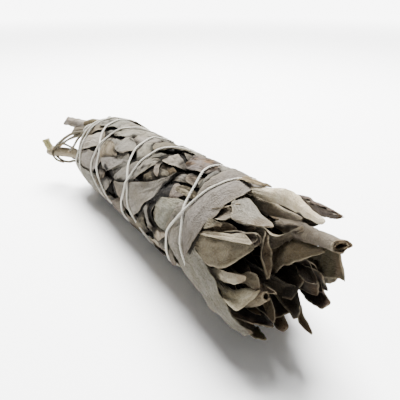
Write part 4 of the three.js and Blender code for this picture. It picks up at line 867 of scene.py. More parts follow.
def shade_hollows(field, laid):
    """Painted shade on each wrapping leaf: how dark it is painted in the gaps between leaves, where it lies
    low among its neighbours, and in the creases beside their edges.
    """
    covered_share, crease_share = 0.45, 0.85
    low_range, crease_range, neck = (0.7, 1.9), (0.35, 1.0), (14, 34)
    surface = np.maximum(field.top, wrap_radius(field.stations) - GENERAL_DEPTH)
    general = blurred(dilated(surface, 5, 7), 14)
    beside = blurred(dilated(surface, 2, 3), 2)
    gaps = painted_gap_shade(field)
    painted_shades = []
    for leaf in laid:
        along, angle, top = leaf["along"], leaf["angle"], leaf["top"]
        # Painted shade where the leaf lies low under the smoothed surface round it, none near the stem end.
        low = smooth_step(*low_range, field.sample(general, along, angle) - top)
        low = low * smooth_step(*neck, along) * (1.0 if "ceiling" in leaf else covered_share)
        # Painted shadow in the creases beside the edges of the leaves that lie over it.
        crease = smooth_step(*crease_range, field.sample(beside, along, angle) - top)
        shade = leaf.get("shaded", 1) * np.maximum(low, crease_share * crease)
        # Painted shade of the deep gaps, on every leaf that lies there.
        painted_shades.append(np.maximum(field.sample(gaps, along, angle), shade))
    return painted_shades


def wrapped_sheet(field, leaf, core, scale, colours, hollow):
    """The closed sheet of a leaf that has been laid, drawn tight and kept over the floor."""
    outer_gap, inner_gap = 0.02, 0.22
    along, angle = leaf["along"], leaf["angle"]
    base = field.sample(core, along, angle)
    tight = field.sample(scale, along, angle)
    limit = floor_radius(along, angle)
    sides = []
    for radius, gap in zip(leaf["radii"], (outer_gap, inner_gap)):
        drawn = base + (radius - base) * np.where(radius > base, tight, 1) - leaf["press"]
        points = place(along, angle, np.minimum(drawn, limit - gap))
        points[..., 2] = np.maximum(points[..., 2], gap)
        sides.append(points)
    return closed_sheet(*sides, leaf["uv"], leaf_tint(colours, leaf), leaf["rim"], leaf["brown"], hollow)


def open_leaf(blade, thickness, colours):
    """A blade in the open: curled across, turned about its midrib and wavy along its edges."""
    seed, width = blade["seed"], blade["width"]
    root, tip = 0.62, blade.get("blunt", 0.06)
    length = line_length(placed(blade["path"]))
    u = cell_steps(length, OPEN_CELL, 12, 90)
    side = cell_steps(width, OPEN_CELL, 10, 36, start=-1)
    distance, across, reach = u[:, None] * length, side[None, :] * width / 2, np.abs(side)[None, :]
    route = through(blade["path"], u)
    spine = placed(route)
    tangent = unit(np.gradient(spine, axis=0))
    facing = outward(route[:, 1])
    facing = unit(facing - tangent * np.sum(facing * tangent, 1)[:, None])
    sideways = np.cross(facing, tangent)
    turn = np.radians(blade.get("roll", 0) + 9 * ripple(u * length, 0 * u, seed + 1, 40))[:, None]
    facing, sideways = (
        facing * np.cos(turn) - sideways * np.sin(turn),
        sideways * np.cos(turn) + facing * np.sin(turn),
    )
    ends = np.where(u < 0.5, root, tip)
    half = width / 2 * (ends + (1 - ends) * np.sin(math.pi * u) ** 0.7)
    if "blunt" not in blade:
        half *= 0.1 + 0.9 * rounded(np.clip((1 - u) * length / 2.4, 0, 1))
    waver = [1 + 0.06 * ripple(u * length, 0 * u, seed + k, 8)[:, None] for k in (2, 3)]
    spread = half[:, None] * np.where(side[None, :] < 0, *waver)
    bend = np.where(side < 0, *blade["curl"])[None, :] * (0.8 + 0.4 * u[:, None])
    bend = bend + 0.12 * ripple(distance, side[None, :] * 9, seed + 4, 14)
    bend = np.where(np.abs(bend) < 0.05, 0.05, bend)
    normal_x, normal_y = np.sign(side)[None, :] * np.sin(bend * reach), np.cos(bend * reach)
    x, y = normal_x / bend * spread, (normal_y - 1) / bend * spread * blade.get("flat", 1)
    ruffle = 0.55 * ripple(distance, side[None, :] * 3, seed + 6, 6) * reach**3
    relief = ruffle * smooth_step(0.15, 0.5, u)[:, None] + 0.22 * ripple(distance, across, seed + 7, 5)
    relief = relief - 0.30 * np.exp(-((side[None, :] * spread) / MIDRIB_WIDTH) ** 2) * (1 - u[:, None] ** 3)
    ragged = blade.get("torn", 0) * ripple(0 * distance, side[None, :] * 6, seed + 9, 2.4)
    ragged = ragged - blade.get("notch", 0) * (1 - smooth_step(0.15, 0.6, reach))
    ragged = ragged * smooth_step(0.75, 1, u)[:, None]
    normal = sideways[:, None, :] * normal_x[..., None] + facing[:, None, :] * normal_y[..., None]
    middle = spine[:, None, :] + tangent[:, None, :] * ragged[..., None] + normal * relief[..., None]
    middle = middle + sideways[:, None, :] * x[..., None] + facing[:, None, :] * y[..., None]
    return finished_leaf(blade, middle, normal, distance, across, thickness, colours)


def edged_leaf(blade, thickness, colours):
    """A blade in the open between two given edges, with a bulge, turned-out edges and creases."""
    seed = blade["seed"]
    narrow = 0 if "square" in blade else 0.4
    edges = [placed(blade[key]) for key in ("left", "right")]
    length = line_length((edges[0] + edges[1]) / 2)
    width = np.max(np.linalg.norm(edges[1] - edges[0], axis=1))
    u = cell_steps(length, OPEN_CELL, 14, 90)
    side = cell_steps(width, OPEN_CELL, 8, 36, start=-1)
    distance, across, reach = u[:, None] * length, side[None, :] * width / 2, np.abs(side)[None, :]
    left, right = through(edges[0], u), through(edges[1], u)
    middle, half = (left + right) / 2, (right - left) / 2
    waver = 1 + 0.08 * ripple(distance, np.sign(side)[None, :] * 30, seed + 2, 7)
    near_tip = np.clip((1 - u) * length / 2.0, 0, 1)
    waver = waver * (1 - narrow + narrow * rounded(near_tip))[:, None]
    sheet = middle[:, None, :] + half[:, None, :] * (side[None, :] * waver)[..., None]
    normal = unit(np.cross(np.gradient(middle, axis=0), half))
    axis_point = AXIS_START + AXIS_DIRECTION * ((middle - AXIS_START) @ AXIS_DIRECTION)[:, None]
    if np.sum(normal * (middle - axis_point)) < 0:
        normal = -normal
    swell = np.sin(math.pi * np.clip(u * 0.85 + 0.1, 0, 1))[:, None]
    lift = np.where(side < 0, *blade.get("lift", (0.15, 0.15)))[None, :]
    relief = blade.get("bulge", 0) * (1 - side[None, :] ** 2) * swell
    relief = relief + lift * reach**5 * smooth_step(0.15, 0.5, u)[:, None]
    relief = relief + 0.28 * ripple(distance, side[None, :] * 3, seed + 6, 7) * reach**3 * swell
    crumple = 0.22 * ripple(distance, across, seed + 7, 6) + 0.25 * creases(distance, across, seed + 8, 8)
    relief = relief + blade.get("crumple", 1) * crumple
    relief = relief - 0.25 * np.exp(-((across / MIDRIB_WIDTH) ** 2)) * (1 - u[:, None] ** 3)
    sheet = sheet + normal[:, None, :] * relief[..., None]
    return finished_leaf(blade, sheet, normal[:, None, :], distance, across, thickness, colours)


def finished_leaf(blade, middle, normal, distance, across, thickness, colours):
    """Gives an open leaf its thickness, kept over the floor, its finish, and painted shade deep inside the
    leaf end.
    """
    rim_width, tip_rim, brown_length = 1.5, 1.8, 8
    mouth, depth, neck = (138, 156), (12, 19), (60, 100)
    length, width = distance.max(), 2 * across.max()
    reach = np.abs(across) / (width / 2) * np.ones(middle.shape[:2])
    thin = thickness / 2 * (1 - EDGE_THINNING * reach**6)
    outer, inner = middle + normal * thin[..., None], middle - normal * thin[..., None]
    for face in (outer, inner):
        face[..., 2] = np.maximum(face[..., 2], FLOOR_GAP)
    uv = np.stack(np.broadcast_arrays(distance, across), -1)
    # Pale rim along the edges and tip: partly wear, partly painted highlight.
    border = np.maximum(reach, smooth_step(length - tip_rim, length, distance))
    rim = blade.get("edge", 1) * smooth_step(1 - rim_width / width, 1, border)
    near_tip = smooth_step(length - brown_length, length, distance)
    brown = blade.get("brown", 0.5) * near_tip * np.ones_like(reach)
    # Painted shade deep inside the leaf end: dark near the axis, from the middle of the bundle to its mouth.
    out = np.linalg.norm(np.cross(outer - AXIS_START, AXIS_DIRECTION), axis=-1)
    far = (outer - AXIS_START) @ AXIS_DIRECTION
    hollow = (1 - smooth_step(*mouth, far)) * (1 - smooth_step(*depth, out)) * smooth_step(*neck, far)
    return closed_sheet(outer, inner, uv, leaf_tint(colours, blade), rim, brown, hollow)


def stem_sheet(stem, tint):
    """A dry stem with knots, slightly bent, and cut off square."""
    steps, sides, knot_height, squareness = 26, 14, 0.16, 0.06
    u = np.linspace(0, 1, steps)
    spine = placed(through(stem["path"], u))
    tangent = unit(np.gradient(spine, axis=0))
    guide = unit(np.cross(tangent, [0.0, 0.0, 1.0]))
    third = np.cross(tangent, guide)
    knots = [knot_height * np.exp(-(((u - at) / size) ** 2)) for at, size in ((0.3, 0.05), (0.93, 0.04))]
    turn = np.linspace(0, 2 * math.pi, sides, endpoint=False)
    square = 1 + squareness * np.cos(4 * turn)
    radius = stem["radius"] * (1 + knots[0] + knots[1])[:, None] * square[None, :]
    rings = spine[:, None, :] + guide[:, None, :] * (radius * np.cos(turn))[..., None]
    rings = rings + third[:, None, :] * (radius * np.sin(turn))[..., None]
    return ring_sheet(rings, tint, STEM)


def core_sheet(sprig, shape, cinch, field):
    """The pressed inner leaves of one sprig: a wedge round its stem, rounded at the stem end."""
    rounding, point_radius, seam = 2.5, 0.3, 0.12
    centre = sprig * SECTOR
    cap = CORE_START + np.array([-2.4, -1.6, -0.8])
    spread = np.linspace(-0.5, 0.5, 13) * SECTOR
    rings = []
    for s in np.concatenate([cap, np.linspace(CORE_START, CORE_END, 88)]):
        base = np.full_like(spread, max(s, CORE_START))
        radius = core_radius(base, centre + spread, shape["core_depth"])
        radius = radius * math.sqrt(max(0.05, 1 - ((CORE_START - min(s, CORE_START)) / rounding) ** 2))
        radius = radius - field.sample(cinch, base, centre + spread) * shape["cinch"]
        inset = np.degrees(seam / radius) * -np.sign(spread) * (np.abs(spread) > SECTOR * 0.45)
        outer = place(np.full_like(spread, s), centre + spread + inset, radius)
        rings.append(np.concatenate([place(s, centre, point_radius)[None], outer]))
    return ring_sheet(np.array(rings), CORE_TINT, CORE)


# Leaves that the photograph doesn't show, or hardly, with seeded draws


def strip(around, root, reach, lean, near, half, far, finish, **more):
    """A wrapping leaf that leans, with its half width at the root, the middle and the tip in degrees."""
    edges = []
    for side in (-1, 1):
        middle = (root - reach / 2, around + side * half + lean / 2)
        edges.append(((root, around + side * near), middle, (root - reach, around + side * far + lean)))
    return edged(sprig_at(around), finish, *edges, **more)


def base_leaves():
    """Broad leaves under all the others."""
    rows = []
    for k in range(10):
        root = -7 if k % 2 else 58
        lean = (k % 3 - 1) * 14
        rows.append(strip(36 * k + 8, root, -52, lean, 9, 19, 6, "shade", cell=1.6, ceiling=-2.5))
    return rows


def hidden_leaves():
    """Leaves on the side that the photograph doesn't show, and some that others cover."""
    random = np.random.default_rng(41)
    finishes = ("grey", "shade", "cream", "pink", "grey")
    rows = []
    for k in range(27):
        ring = k % 3
        root = (46, 88, 124)[ring] + random.uniform(-6, 6)
        around = 116 + 25 * (k // 3) + random.uniform(-7, 7) + 8 * ring
        reach = random.uniform(34, 46)
        lean = random.uniform(-28, 28)
        half = random.uniform(12, 23)
        rows.append(strip(around, root, reach, lean, 8, half, 4, finishes[k % 5], cell=1.15))
    return rows


def under_leaves():
    """Short dark crumpled leaves that show between the wrapping leaves, where they take the full painted
    shade of the gaps.
    """
    random = np.random.default_rng(7)
    finishes = ("shade", "olive", "brown", "shade")
    rows = []
    for k in range(110):
        root = random.uniform(14, 126)
        around = random.uniform(0, 360)
        reach = random.uniform(12, 20)
        lean = random.uniform(-34, 34)
        half = random.uniform(8, 13)
        look = dict(cell=1.3, stiffness=6, crumple=1.3, ceiling=-1.9)
        rows.append(strip(around, root, reach, lean, half, half, 4, finishes[k % 4], **look))
    return rows


def far_tips():
    """Loose tips on the side that the photograph doesn't show, and small ones inside the leaf end, half of
    them in the dark finish, which is partly painted shade.
    """
    random = np.random.default_rng(53)
    rows = []
    for k in range(9):
        around = -46 - 15 * k + random.uniform(-4, 4)
        radius = (20, 15, 17)[k % 3]
        end = random.uniform(150, 160)
        path = (
            (120, around, radius - 5), (138, around + 2, radius - 1),
            (end, around + random.uniform(-8, 8), radius),
        )
        width, curl = random.uniform(10, 15), tuple(random.uniform(0.4, 1.1, 2))
        finish = ("grey", "shade", "olive")[k % 3]
        rows.append(curled(sprig_at(around), finish, path, width, curl, roll=random.uniform(-15, 15)))
    for k in range(44):
        around = random.uniform(0, 360)
        radius = 17 * math.sqrt(random.uniform(0.02, 0.9))
        low = 0.5 - 0.5 * math.cos(math.radians(around))
        end = random.uniform(140, 150) + 9 * low
        path = (
            (118, around, radius * 0.6), (134, around, radius * 0.85),
            (end, around + random.uniform(-20, 20), radius),
        )
        width, curl = random.uniform(7, 13), tuple(random.uniform(0.4, 1.4, 2))
        finish = ("dark", "brown", "dark", "plum")[k % 4]
        rows.append(curled(sprig_at(around), finish, path, width, curl, roll=random.uniform(-60, 60)))
    return rows


def stem_end_scraps():
    """Curled leaf ends among and round the stems, on the side that the photograph doesn't show."""
    random = np.random.default_rng(29)
    rings = ((16.5, 128, 347, 20, 13), (11, 0, 335, 14, 9.5), (5.5, 20, 330, 8, 9.5))
    rows = []
    for distance, first, last, count, reach in rings:
        for k, around in enumerate(np.linspace(first, last, count)):
            radius = distance * random.uniform(0.82 if distance < 12 else 0.62, 1)
            end = (-random.uniform(reach - 3, reach), around + random.uniform(-14, 14), radius)
            path = ((9, around, 0.8 * radius), (0, around, radius), end)
            width, curl = random.uniform(9, 15), tuple(random.uniform(0.6, 1.8, 2))
            look = dict(roll=random.uniform(-30, 30), blunt=0.7, torn=0.8)
            rows.append(curled(sprig_at(around), ("shade", "grey", "tan")[k % 3], path, width, curl, **look))
    return rows


# The bundle

WRAP_SEED = 100
OPEN_SEED = 2000
SEED_STEP = 10
SHARP_ANGLE = math.radians(55)
PEG_TINT = np.array([1.7, 1.9, 1.45, 1.0])
# Leaf stalks darker and more olive than the stems: partly their own colour, partly painted shade.
STALK_OLIVE_AND_SHADE = np.array([0.45, 0.45, 0.38, 1.0])


@functools.lru_cache(maxsize=1)
def bundle():
    """Every sheet of every sprig, and the height field that the thread is wound on."""
    scene = bpy.context.scene
    shape = {key: getattr(scene.sage_shape, key) / MM for key in SageBundleShape.__annotations__}
    colours = {key: tuple(getattr(scene.sage_colours, key)) for key in SageColours.__annotations__}
    field = HeightField()
    grid_along, grid_angle = np.broadcast_arrays(field.stations, np.arange(360.0)[None, :])
    core = core_radius(grid_along, grid_angle, shape["core_depth"])
    field.top = np.where((grid_along >= CORE_START) & (grid_along <= CORE_END), core, 0.0)
    cinch = cinch_field(field)
    stem_tint = np.append(colours["stem"], 1.0)
    sprigs = []
    for sprig, stem in enumerate(STEMS):
        sprigs.append([core_sheet(sprig, shape, cinch, field), stem_sheet(stem, stem_tint)])
    sprigs[TIED_STEM].append(stem_sheet(FORK_PEG, stem_tint * PEG_TINT))
    sprigs[TIED_STEM].extend(stem_sheet(stalk, stem_tint * STALK_OLIVE_AND_SHADE) for stalk in LEAF_STALKS)
    layers = [*base_leaves(), *under_leaves(), *hidden_leaves(), *HIDDEN_COLLARS.values()]
    laid = []
    for number, leaf in enumerate([*layers, *SEEN_LEAVES.values()]):
        laid.append(lay_leaf(field, dict(leaf, seed=WRAP_SEED + SEED_STEP * number), shape, cinch))
    scale = tightening(field, core)
    for leaf, hollow in zip(laid, shade_hollows(field, laid)):
        sprigs[leaf["sprig"] - 1].append(wrapped_sheet(field, leaf, core, scale, colours, hollow))
    field.top = np.where(field.top > core, core + (field.top - core) * scale, field.top)
    blades = [*OPEN_LEAVES.values(), *LOOSE_LEAVES.values(), *STEM_END_LEAVES.values()]
    for number, blade in enumerate([*blades, *far_tips(), *stem_end_scraps(), PURPLE_FOLD]):
        make = open_leaf if "path" in blade else edged_leaf
        blade = dict(blade, seed=OPEN_SEED + SEED_STEP * number)
        sprigs[blade["sprig"] - 1].append(make(blade, shape["leaf_thickness"], colours))
    return sprigs, field, cinch, shape


def join_sheets(name, sheets, materials):
    """One mesh object from many closed sheets, with their finish and painted shade as attributes."""
    faces, kinds, start = [], [], 0
    for sheet in sheets:
        faces.extend(tuple(int(i) + start for i in face) for face in sheet.faces)
        kinds.extend([sheet.material] * len(sheet.faces))
        start += len(sheet.points)
    mesh = bpy.data.meshes.new(name)
    points = np.concatenate([sheet.points * MM for sheet in sheets])
    mesh.from_pydata(points.tolist(), [], faces)
    mesh.polygons.foreach_set("material_index", np.array(kinds, dtype=np.int32))
    mesh.polygons.foreach_set("use_smooth", np.ones(len(faces), dtype=bool))
    corner = np.zeros(len(mesh.loops), dtype=np.int32)
    mesh.loops.foreach_get("vertex_index", corner)
    uv = np.concatenate([sheet.uv for sheet in sheets])
    mesh.uv_layers.new(name="leaf").data.foreach_set("uv", uv[corner].astype(np.float32).ravel())
    for key in ("tint", "rim", "brown", "hollow"):
        values = np.concatenate([getattr(sheet, key) for sheet in sheets])
        kind, label = ("FLOAT_COLOR", "color") if key == "tint" else ("FLOAT", "value")
        attribute = mesh.attributes.new(key, kind, "POINT")
        attribute.data.foreach_set(label, values.astype(np.float32).ravel())
    mesh.update()
    mesh.set_sharp_from_angle(angle=SHARP_ANGLE)
    for material in materials:
        mesh.materials.append(material)
    return linked(name, mesh)


def linked(name, data):
    """A new object in the scene."""
    thing = bpy.data.objects.new(name, data)
    bpy.context.scene.collection.objects.link(thing)
    return thing


# Materials


class Nodes:
    """A short way to write the nodes of a material, a group, a thread or the surroundings."""

    def __init__(self, tree):
        self.tree = tree
        self.column = 0

    def lay_out(self, node):
        node.location = (self.column * 180, -120 * (self.column % 4))
        self.column += 1

    def connect(self, value, socket):
        if isinstance(value, bpy.types.NodeSocket):
            self.tree.links.new(value, socket)
        else:
            socket.default_value = value

    def node(self, kind, inputs=None, **settings):
        node = self.tree.nodes.new(kind)
        self.lay_out(node)
        for key, value in settings.items():
            setattr(node, key, value)
        for key, value in (inputs or {}).items():
            self.connect(value, node.inputs[key])
        return node

    def maths(self, operation, a, b=0.0):
        return self.node("ShaderNodeMath", {0: a, 1: b}, operation=operation).outputs[0]

    def add(self, a, b):
        return self.maths("ADD", a, b)

    def take(self, a, b):
        return self.maths("SUBTRACT", a, b)

    def times(self, a, b):
        return self.maths("MULTIPLY", a, b)

    def ramp(self, value, low, high):
        inputs = {"Value": value, "From Min": low, "From Max": high}
        return self.node("ShaderNodeMapRange", inputs, interpolation_type="SMOOTHSTEP").outputs[0]

    def mix(self, factor, a, b, blend="MIX"):
        """A mix of two colours. Inputs 0, 6 and 7 are the factor and the colours, output 2 the result."""
        node = self.node("ShaderNodeMix", data_type="RGBA", blend_type=blend)
        for index, value in ((0, factor), (6, a), (7, b)):
            self.connect(value, node.inputs[index])
        return node.outputs[2]

    def multiplied(self, colour, by):
        return self.mix(1.0, colour, (*by, 1.0), "MULTIPLY")

    def tinted(self, factor, colour, by):
        """The colour, multiplied by another where the factor says."""
        return self.mix(factor, colour, self.multiplied(colour, by))

    def noise(self, where, scale, detail, roughness=0.5):
        inputs = {"Vector": where, "Scale": scale, "Detail": detail, "Roughness": roughness}
        return self.node("ShaderNodeTexNoise", inputs).outputs[0]

    def mapped(self, where, scale):
        return self.node("ShaderNodeMapping", {"Vector": where, "Scale": scale}).outputs[0]

    def attribute(self, name, output="Fac"):
        return self.node("ShaderNodeAttribute", attribute_name=name).outputs[output]

    def object_place(self):
        return self.node("ShaderNodeTexCoord").outputs["Object"]

    def leaf_place(self):
        """Distance along the leaf and across it, in millimetres."""
        return self.node("ShaderNodeUVMap", uv_map="leaf").outputs[0]


class Finish(Nodes):
    """A material with a Principled shader, whose own constants are set on its sockets."""

    def __init__(self, name, roughness):
        self.material = bpy.data.materials.new(name)
        self.material.use_nodes = True
        super().__init__(self.material.node_tree)
        self.tree.nodes.clear()
        self.surface = self.tree.nodes.new("ShaderNodeBsdfPrincipled")
        self.surface.location = (2600, 0)
        output = self.tree.nodes.new("ShaderNodeOutputMaterial")
        output.location = (2900, 0)
        self.tree.links.new(self.surface.outputs[0], output.inputs[0])
        self.surface.inputs["Roughness"].default_value = roughness

    def colour(self, value):
        self.connect(value, self.surface.inputs["Base Color"])

    def bump(self, height, strength, distance):
        bump = self.node("ShaderNodeBump", {"Height": height, "Strength": strength, "Distance": distance})
        self.tree.links.new(bump.outputs[0], self.surface.inputs["Normal"])


def new_group(name, inputs, outputs):
    """A node group with float inputs and outputs, and its nodes, input values and result."""
    tree = bpy.data.node_groups.new(name, "ShaderNodeTree")
    for label, default in inputs.items():
        socket = tree.interface.new_socket(label, in_out="INPUT", socket_type="NodeSocketFloat")
        socket.default_value = default
    for label in outputs:
        tree.interface.new_socket(label, in_out="OUTPUT", socket_type="NodeSocketFloat")
    nodes = Nodes(tree)
    return nodes, nodes.node("NodeGroupInput").outputs, tree.nodes.new("NodeGroupOutput").inputs


@functools.lru_cache(maxsize=1)
def vein_group():
    """Net of small veins between side veins that leave a midrib, from the leaf's own length and width."""
    sizes = {"Side vein spacing": 3.2, "Net size": 0.85}
    nodes, given, result = new_group("Sage leaf veins", sizes, ("Height", "Line"))
    place_on_leaf = nodes.leaf_place()
    parts = nodes.node("ShaderNodeSeparateXYZ", {0: place_on_leaf}).outputs
    across = nodes.maths("ABSOLUTE", parts[1])
    wobble = nodes.noise(place_on_leaf, 0.35, 2.0)
    slanted = nodes.take(parts[0], nodes.times(across, 0.75))
    slanted = nodes.add(slanted, nodes.times(wobble, 2.2))
    phase = nodes.maths("FRACT", nodes.maths("DIVIDE", slanted, given["Side vein spacing"]))
    ridge = nodes.maths("ABSOLUTE", nodes.take(phase, 0.5))
    side_vein = nodes.ramp(ridge, 0.13, 0.0)
    midrib = nodes.ramp(across, 0.7, 0.0)
    inputs = {"Vector": place_on_leaf, "Scale": nodes.maths("DIVIDE", 1.0, given["Net size"])}
    cells = nodes.node("ShaderNodeTexVoronoi", inputs, feature="DISTANCE_TO_EDGE").outputs[0]
    net = nodes.ramp(cells, 0.22, 0.0)
    line = nodes.maths("MAXIMUM", nodes.times(side_vein, 0.8), midrib)
    line = nodes.maths("MAXIMUM", line, nodes.times(net, 0.45))
    nodes.connect(nodes.take(cells, line), result["Height"])
    nodes.connect(line, result["Line"])
    return nodes.tree


@functools.lru_cache(maxsize=1)
def leaf_material():
    """Downy dried leaf: its tint, veins, fine pebbling, pale rims (partly wear, partly painted highlight),
    brown torn ends, and painted shade in its wrinkles, in its low spots and in the gaps between leaves.
    """
    finish = Finish("Dried sage leaf", roughness=0.92)
    where = finish.object_place()
    rim, brown, hollow = (finish.attribute(name) for name in ("rim", "brown", "hollow"))
    veins = finish.node("ShaderNodeGroup", node_tree=vein_group()).outputs
    down = finish.noise(where, 1400.0, 3.0, 0.7)
    blotch = finish.noise(where, 130.0, 4.0, 0.6)
    pebble = finish.node("ShaderNodeTexVoronoi", {"Vector": where, "Scale": 1150.0}, feature="SMOOTH_F1")
    wrinkle = finish.noise(finish.mapped(finish.leaf_place(), (0.09, 0.30, 1.0)), 1.0, 4.0, 0.55)
    # Wrinkle valleys: dented in the bump, and darkened in the colour below as painted shade.
    valley = finish.ramp(finish.maths("ABSOLUTE", finish.take(wrinkle, 0.5)), 0.035, 0.0)
    dust = finish.ramp(down, 0.48, 0.72)
    # Low spots of the down: darkened in the colour below as painted shade.
    pits = finish.ramp(down, 0.46, 0.30)
    colour = finish.attribute("tint", "Color")
    for factor, by in (
        (finish.ramp(blotch, 0.35, 0.75), (0.78, 0.74, 0.66)),
        (finish.times(veins["Line"], 0.22), (1.35, 1.33, 1.25)),
        (finish.times(dust, 0.6), (1.5, 1.5, 1.48)),
        (finish.times(pits, 0.35), (0.5, 0.46, 0.38)),
        (finish.times(valley, 0.22), (0.55, 0.5, 0.43)),
    ):
        colour = finish.tinted(factor, colour, by)
    # Pale rim: partly wear, partly painted highlight where the edges catch the light.
    wear_and_highlight = finish.times(rim, finish.ramp(blotch, 0.30, 0.55))
    colour = finish.mix(finish.times(wear_and_highlight, 0.42), colour, (0.30, 0.26, 0.18, 1.0))
    torn = finish.times(brown, finish.ramp(blotch, 0.40, 0.62))
    colour = finish.mix(torn, colour, (0.090, 0.058, 0.034, 1.0))
    # Painted shade: nearly black in the gaps, low places and creases between leaves, and deep inside the leaf
    # end.
    finish.colour(finish.tinted(hollow, colour, (0.04, 0.036, 0.03)))
    height = finish.add(finish.times(veins["Height"], 0.55), finish.times(pebble.outputs[0], 0.9))
    height = finish.add(height, finish.times(down, 0.8))
    height = finish.add(height, finish.times(blotch, 1.6))
    height = finish.take(height, finish.times(valley, 0.9))
    finish.bump(height, 0.75, 0.0004)
    finish.surface.inputs["Specular IOR Level"].default_value = 0.04
    finish.surface.inputs["Sheen Weight"].default_value = 0.02
    finish.surface.inputs["Sheen Roughness"].default_value = 0.45
    return finish.material


@functools.lru_cache(maxsize=1)
def stem_material():
    """Dry stem with long fibres and brown patches."""
    finish = Finish("Dry stem", roughness=0.75)
    where = finish.object_place()
    tint = finish.attribute("tint", "Color")
    fibre = finish.noise(finish.mapped(where, (0.12, 1.0, 1.0)), 2400.0, 3.0)
    patch = finish.noise(where, 260.0, 3.0)
    colour = finish.mix(finish.ramp(fibre, 0.35, 0.65), finish.multiplied(tint, (0.6, 0.55, 0.45)), tint)
    finish.colour(finish.mix(finish.ramp(patch, 0.55, 0.75), colour, (0.20, 0.14, 0.07, 1.0)))
    finish.bump(finish.add(fibre, patch), 0.7, 0.0003)
    return finish.material


@functools.lru_cache(maxsize=1)
def core_material():
    """Layers of pressed leaves, seen only through the gaps, painted near black as the shade deep in the gaps.
    """
    finish = Finish("Pressed inner leaves", roughness=0.95)
    layers = finish.noise(finish.object_place(), 420.0, 5.0, 0.65)
    # Painted shade: far darker than the pressed leaves' own colour.
    dark, light = (0.006, 0.005, 0.004, 1.0), (0.030, 0.025, 0.018, 1.0)
    finish.colour(finish.mix(finish.ramp(layers, 0.35, 0.68), dark, light))
    finish.bump(layers, 1.0, 0.0012)
    return finish.material


@functools.lru_cache(maxsize=1)
def cotton_material():
    """Pale cotton with fine fibres, soiled in places."""
    finish = Finish("Cotton thread", roughness=0.9)
    where = finish.object_place()
    cotton = (*bpy.context.scene.sage_colours.cotton, 1.0)
    shaded = (cotton[0] * 0.72, cotton[1] * 0.70, cotton[2] * 0.64, 1.0)
    fibre = finish.noise(where, 3800.0, 3.0)
    soil = finish.noise(where, 90.0, 3.0)
    colour = finish.mix(finish.ramp(fibre, 0.3, 0.7), shaded, cotton)
    finish.colour(finish.mix(finish.times(finish.ramp(soil, 0.5, 0.7), 0.3), colour, (0.40, 0.36, 0.28, 1.0)))
    finish.bump(fibre, 0.6, 0.00012)
    finish.surface.inputs["Sheen Weight"].default_value = 0.3
    return finish.material


# Thread


def wound_path():
    """The thread's centre line in millimetres: drawn tight over the leaves, each turn over the last."""
    step, window, rounds = 2.0, 90, 500
    seat, crossing, clearance = 0.7, 1.7, 0.1
    bare, bare_share = 4, 0.75
    _, field, cinch, shape = bundle()
    radius = bpy.context.scene.sage_thread.radius / MM
    angle, along = thread_route(step)
    pressed = field.sample(field.raised() - cinch * shape["cinch"], along, angle)
    level = np.where(pressed < bare, wrap_radius(along) * bare_share, pressed) + seat * radius
    over = np.zeros_like(field.top)
    strand = np.zeros_like(level)
    for start in range(0, len(angle), window):
        part = slice(start, min(start + window, len(angle)))
        strand[part] = np.maximum(level[part], over[field.cells(along[part], angle[part])])
        cells = field.cells(finer_line(along[part]), finer_line(angle[part]))
        np.maximum.at(over, cells, finer_line(strand[part]) + crossing * radius)
    lowest = strand.copy()
    bend = math.cos(math.radians(step))
    for _ in range(rounds):
        between = (strand[:-2] + strand[2:]) / 2 * bend
        strand[1:-1] = np.maximum(lowest[1:-1], 0.5 * strand[1:-1] + 0.5 * between)
    for _ in range(3):
        strand[1:-1] = (strand[:-2] + 2 * strand[1:-1] + strand[2:]) / 4
    strand = np.minimum(strand, floor_radius(along, angle) - radius - clearance)
    strands = [through(placed(path), np.linspace(0, 1, 41)) for path in THREAD_STRANDS]
    return [place(along, angle, strand)] + strands


def finer_line(values):
    """A row of values with four times as many points."""
    where = np.linspace(0, len(values) - 1, (len(values) - 1) * 4 + 1)
    return np.interp(where, np.arange(len(values)), values)


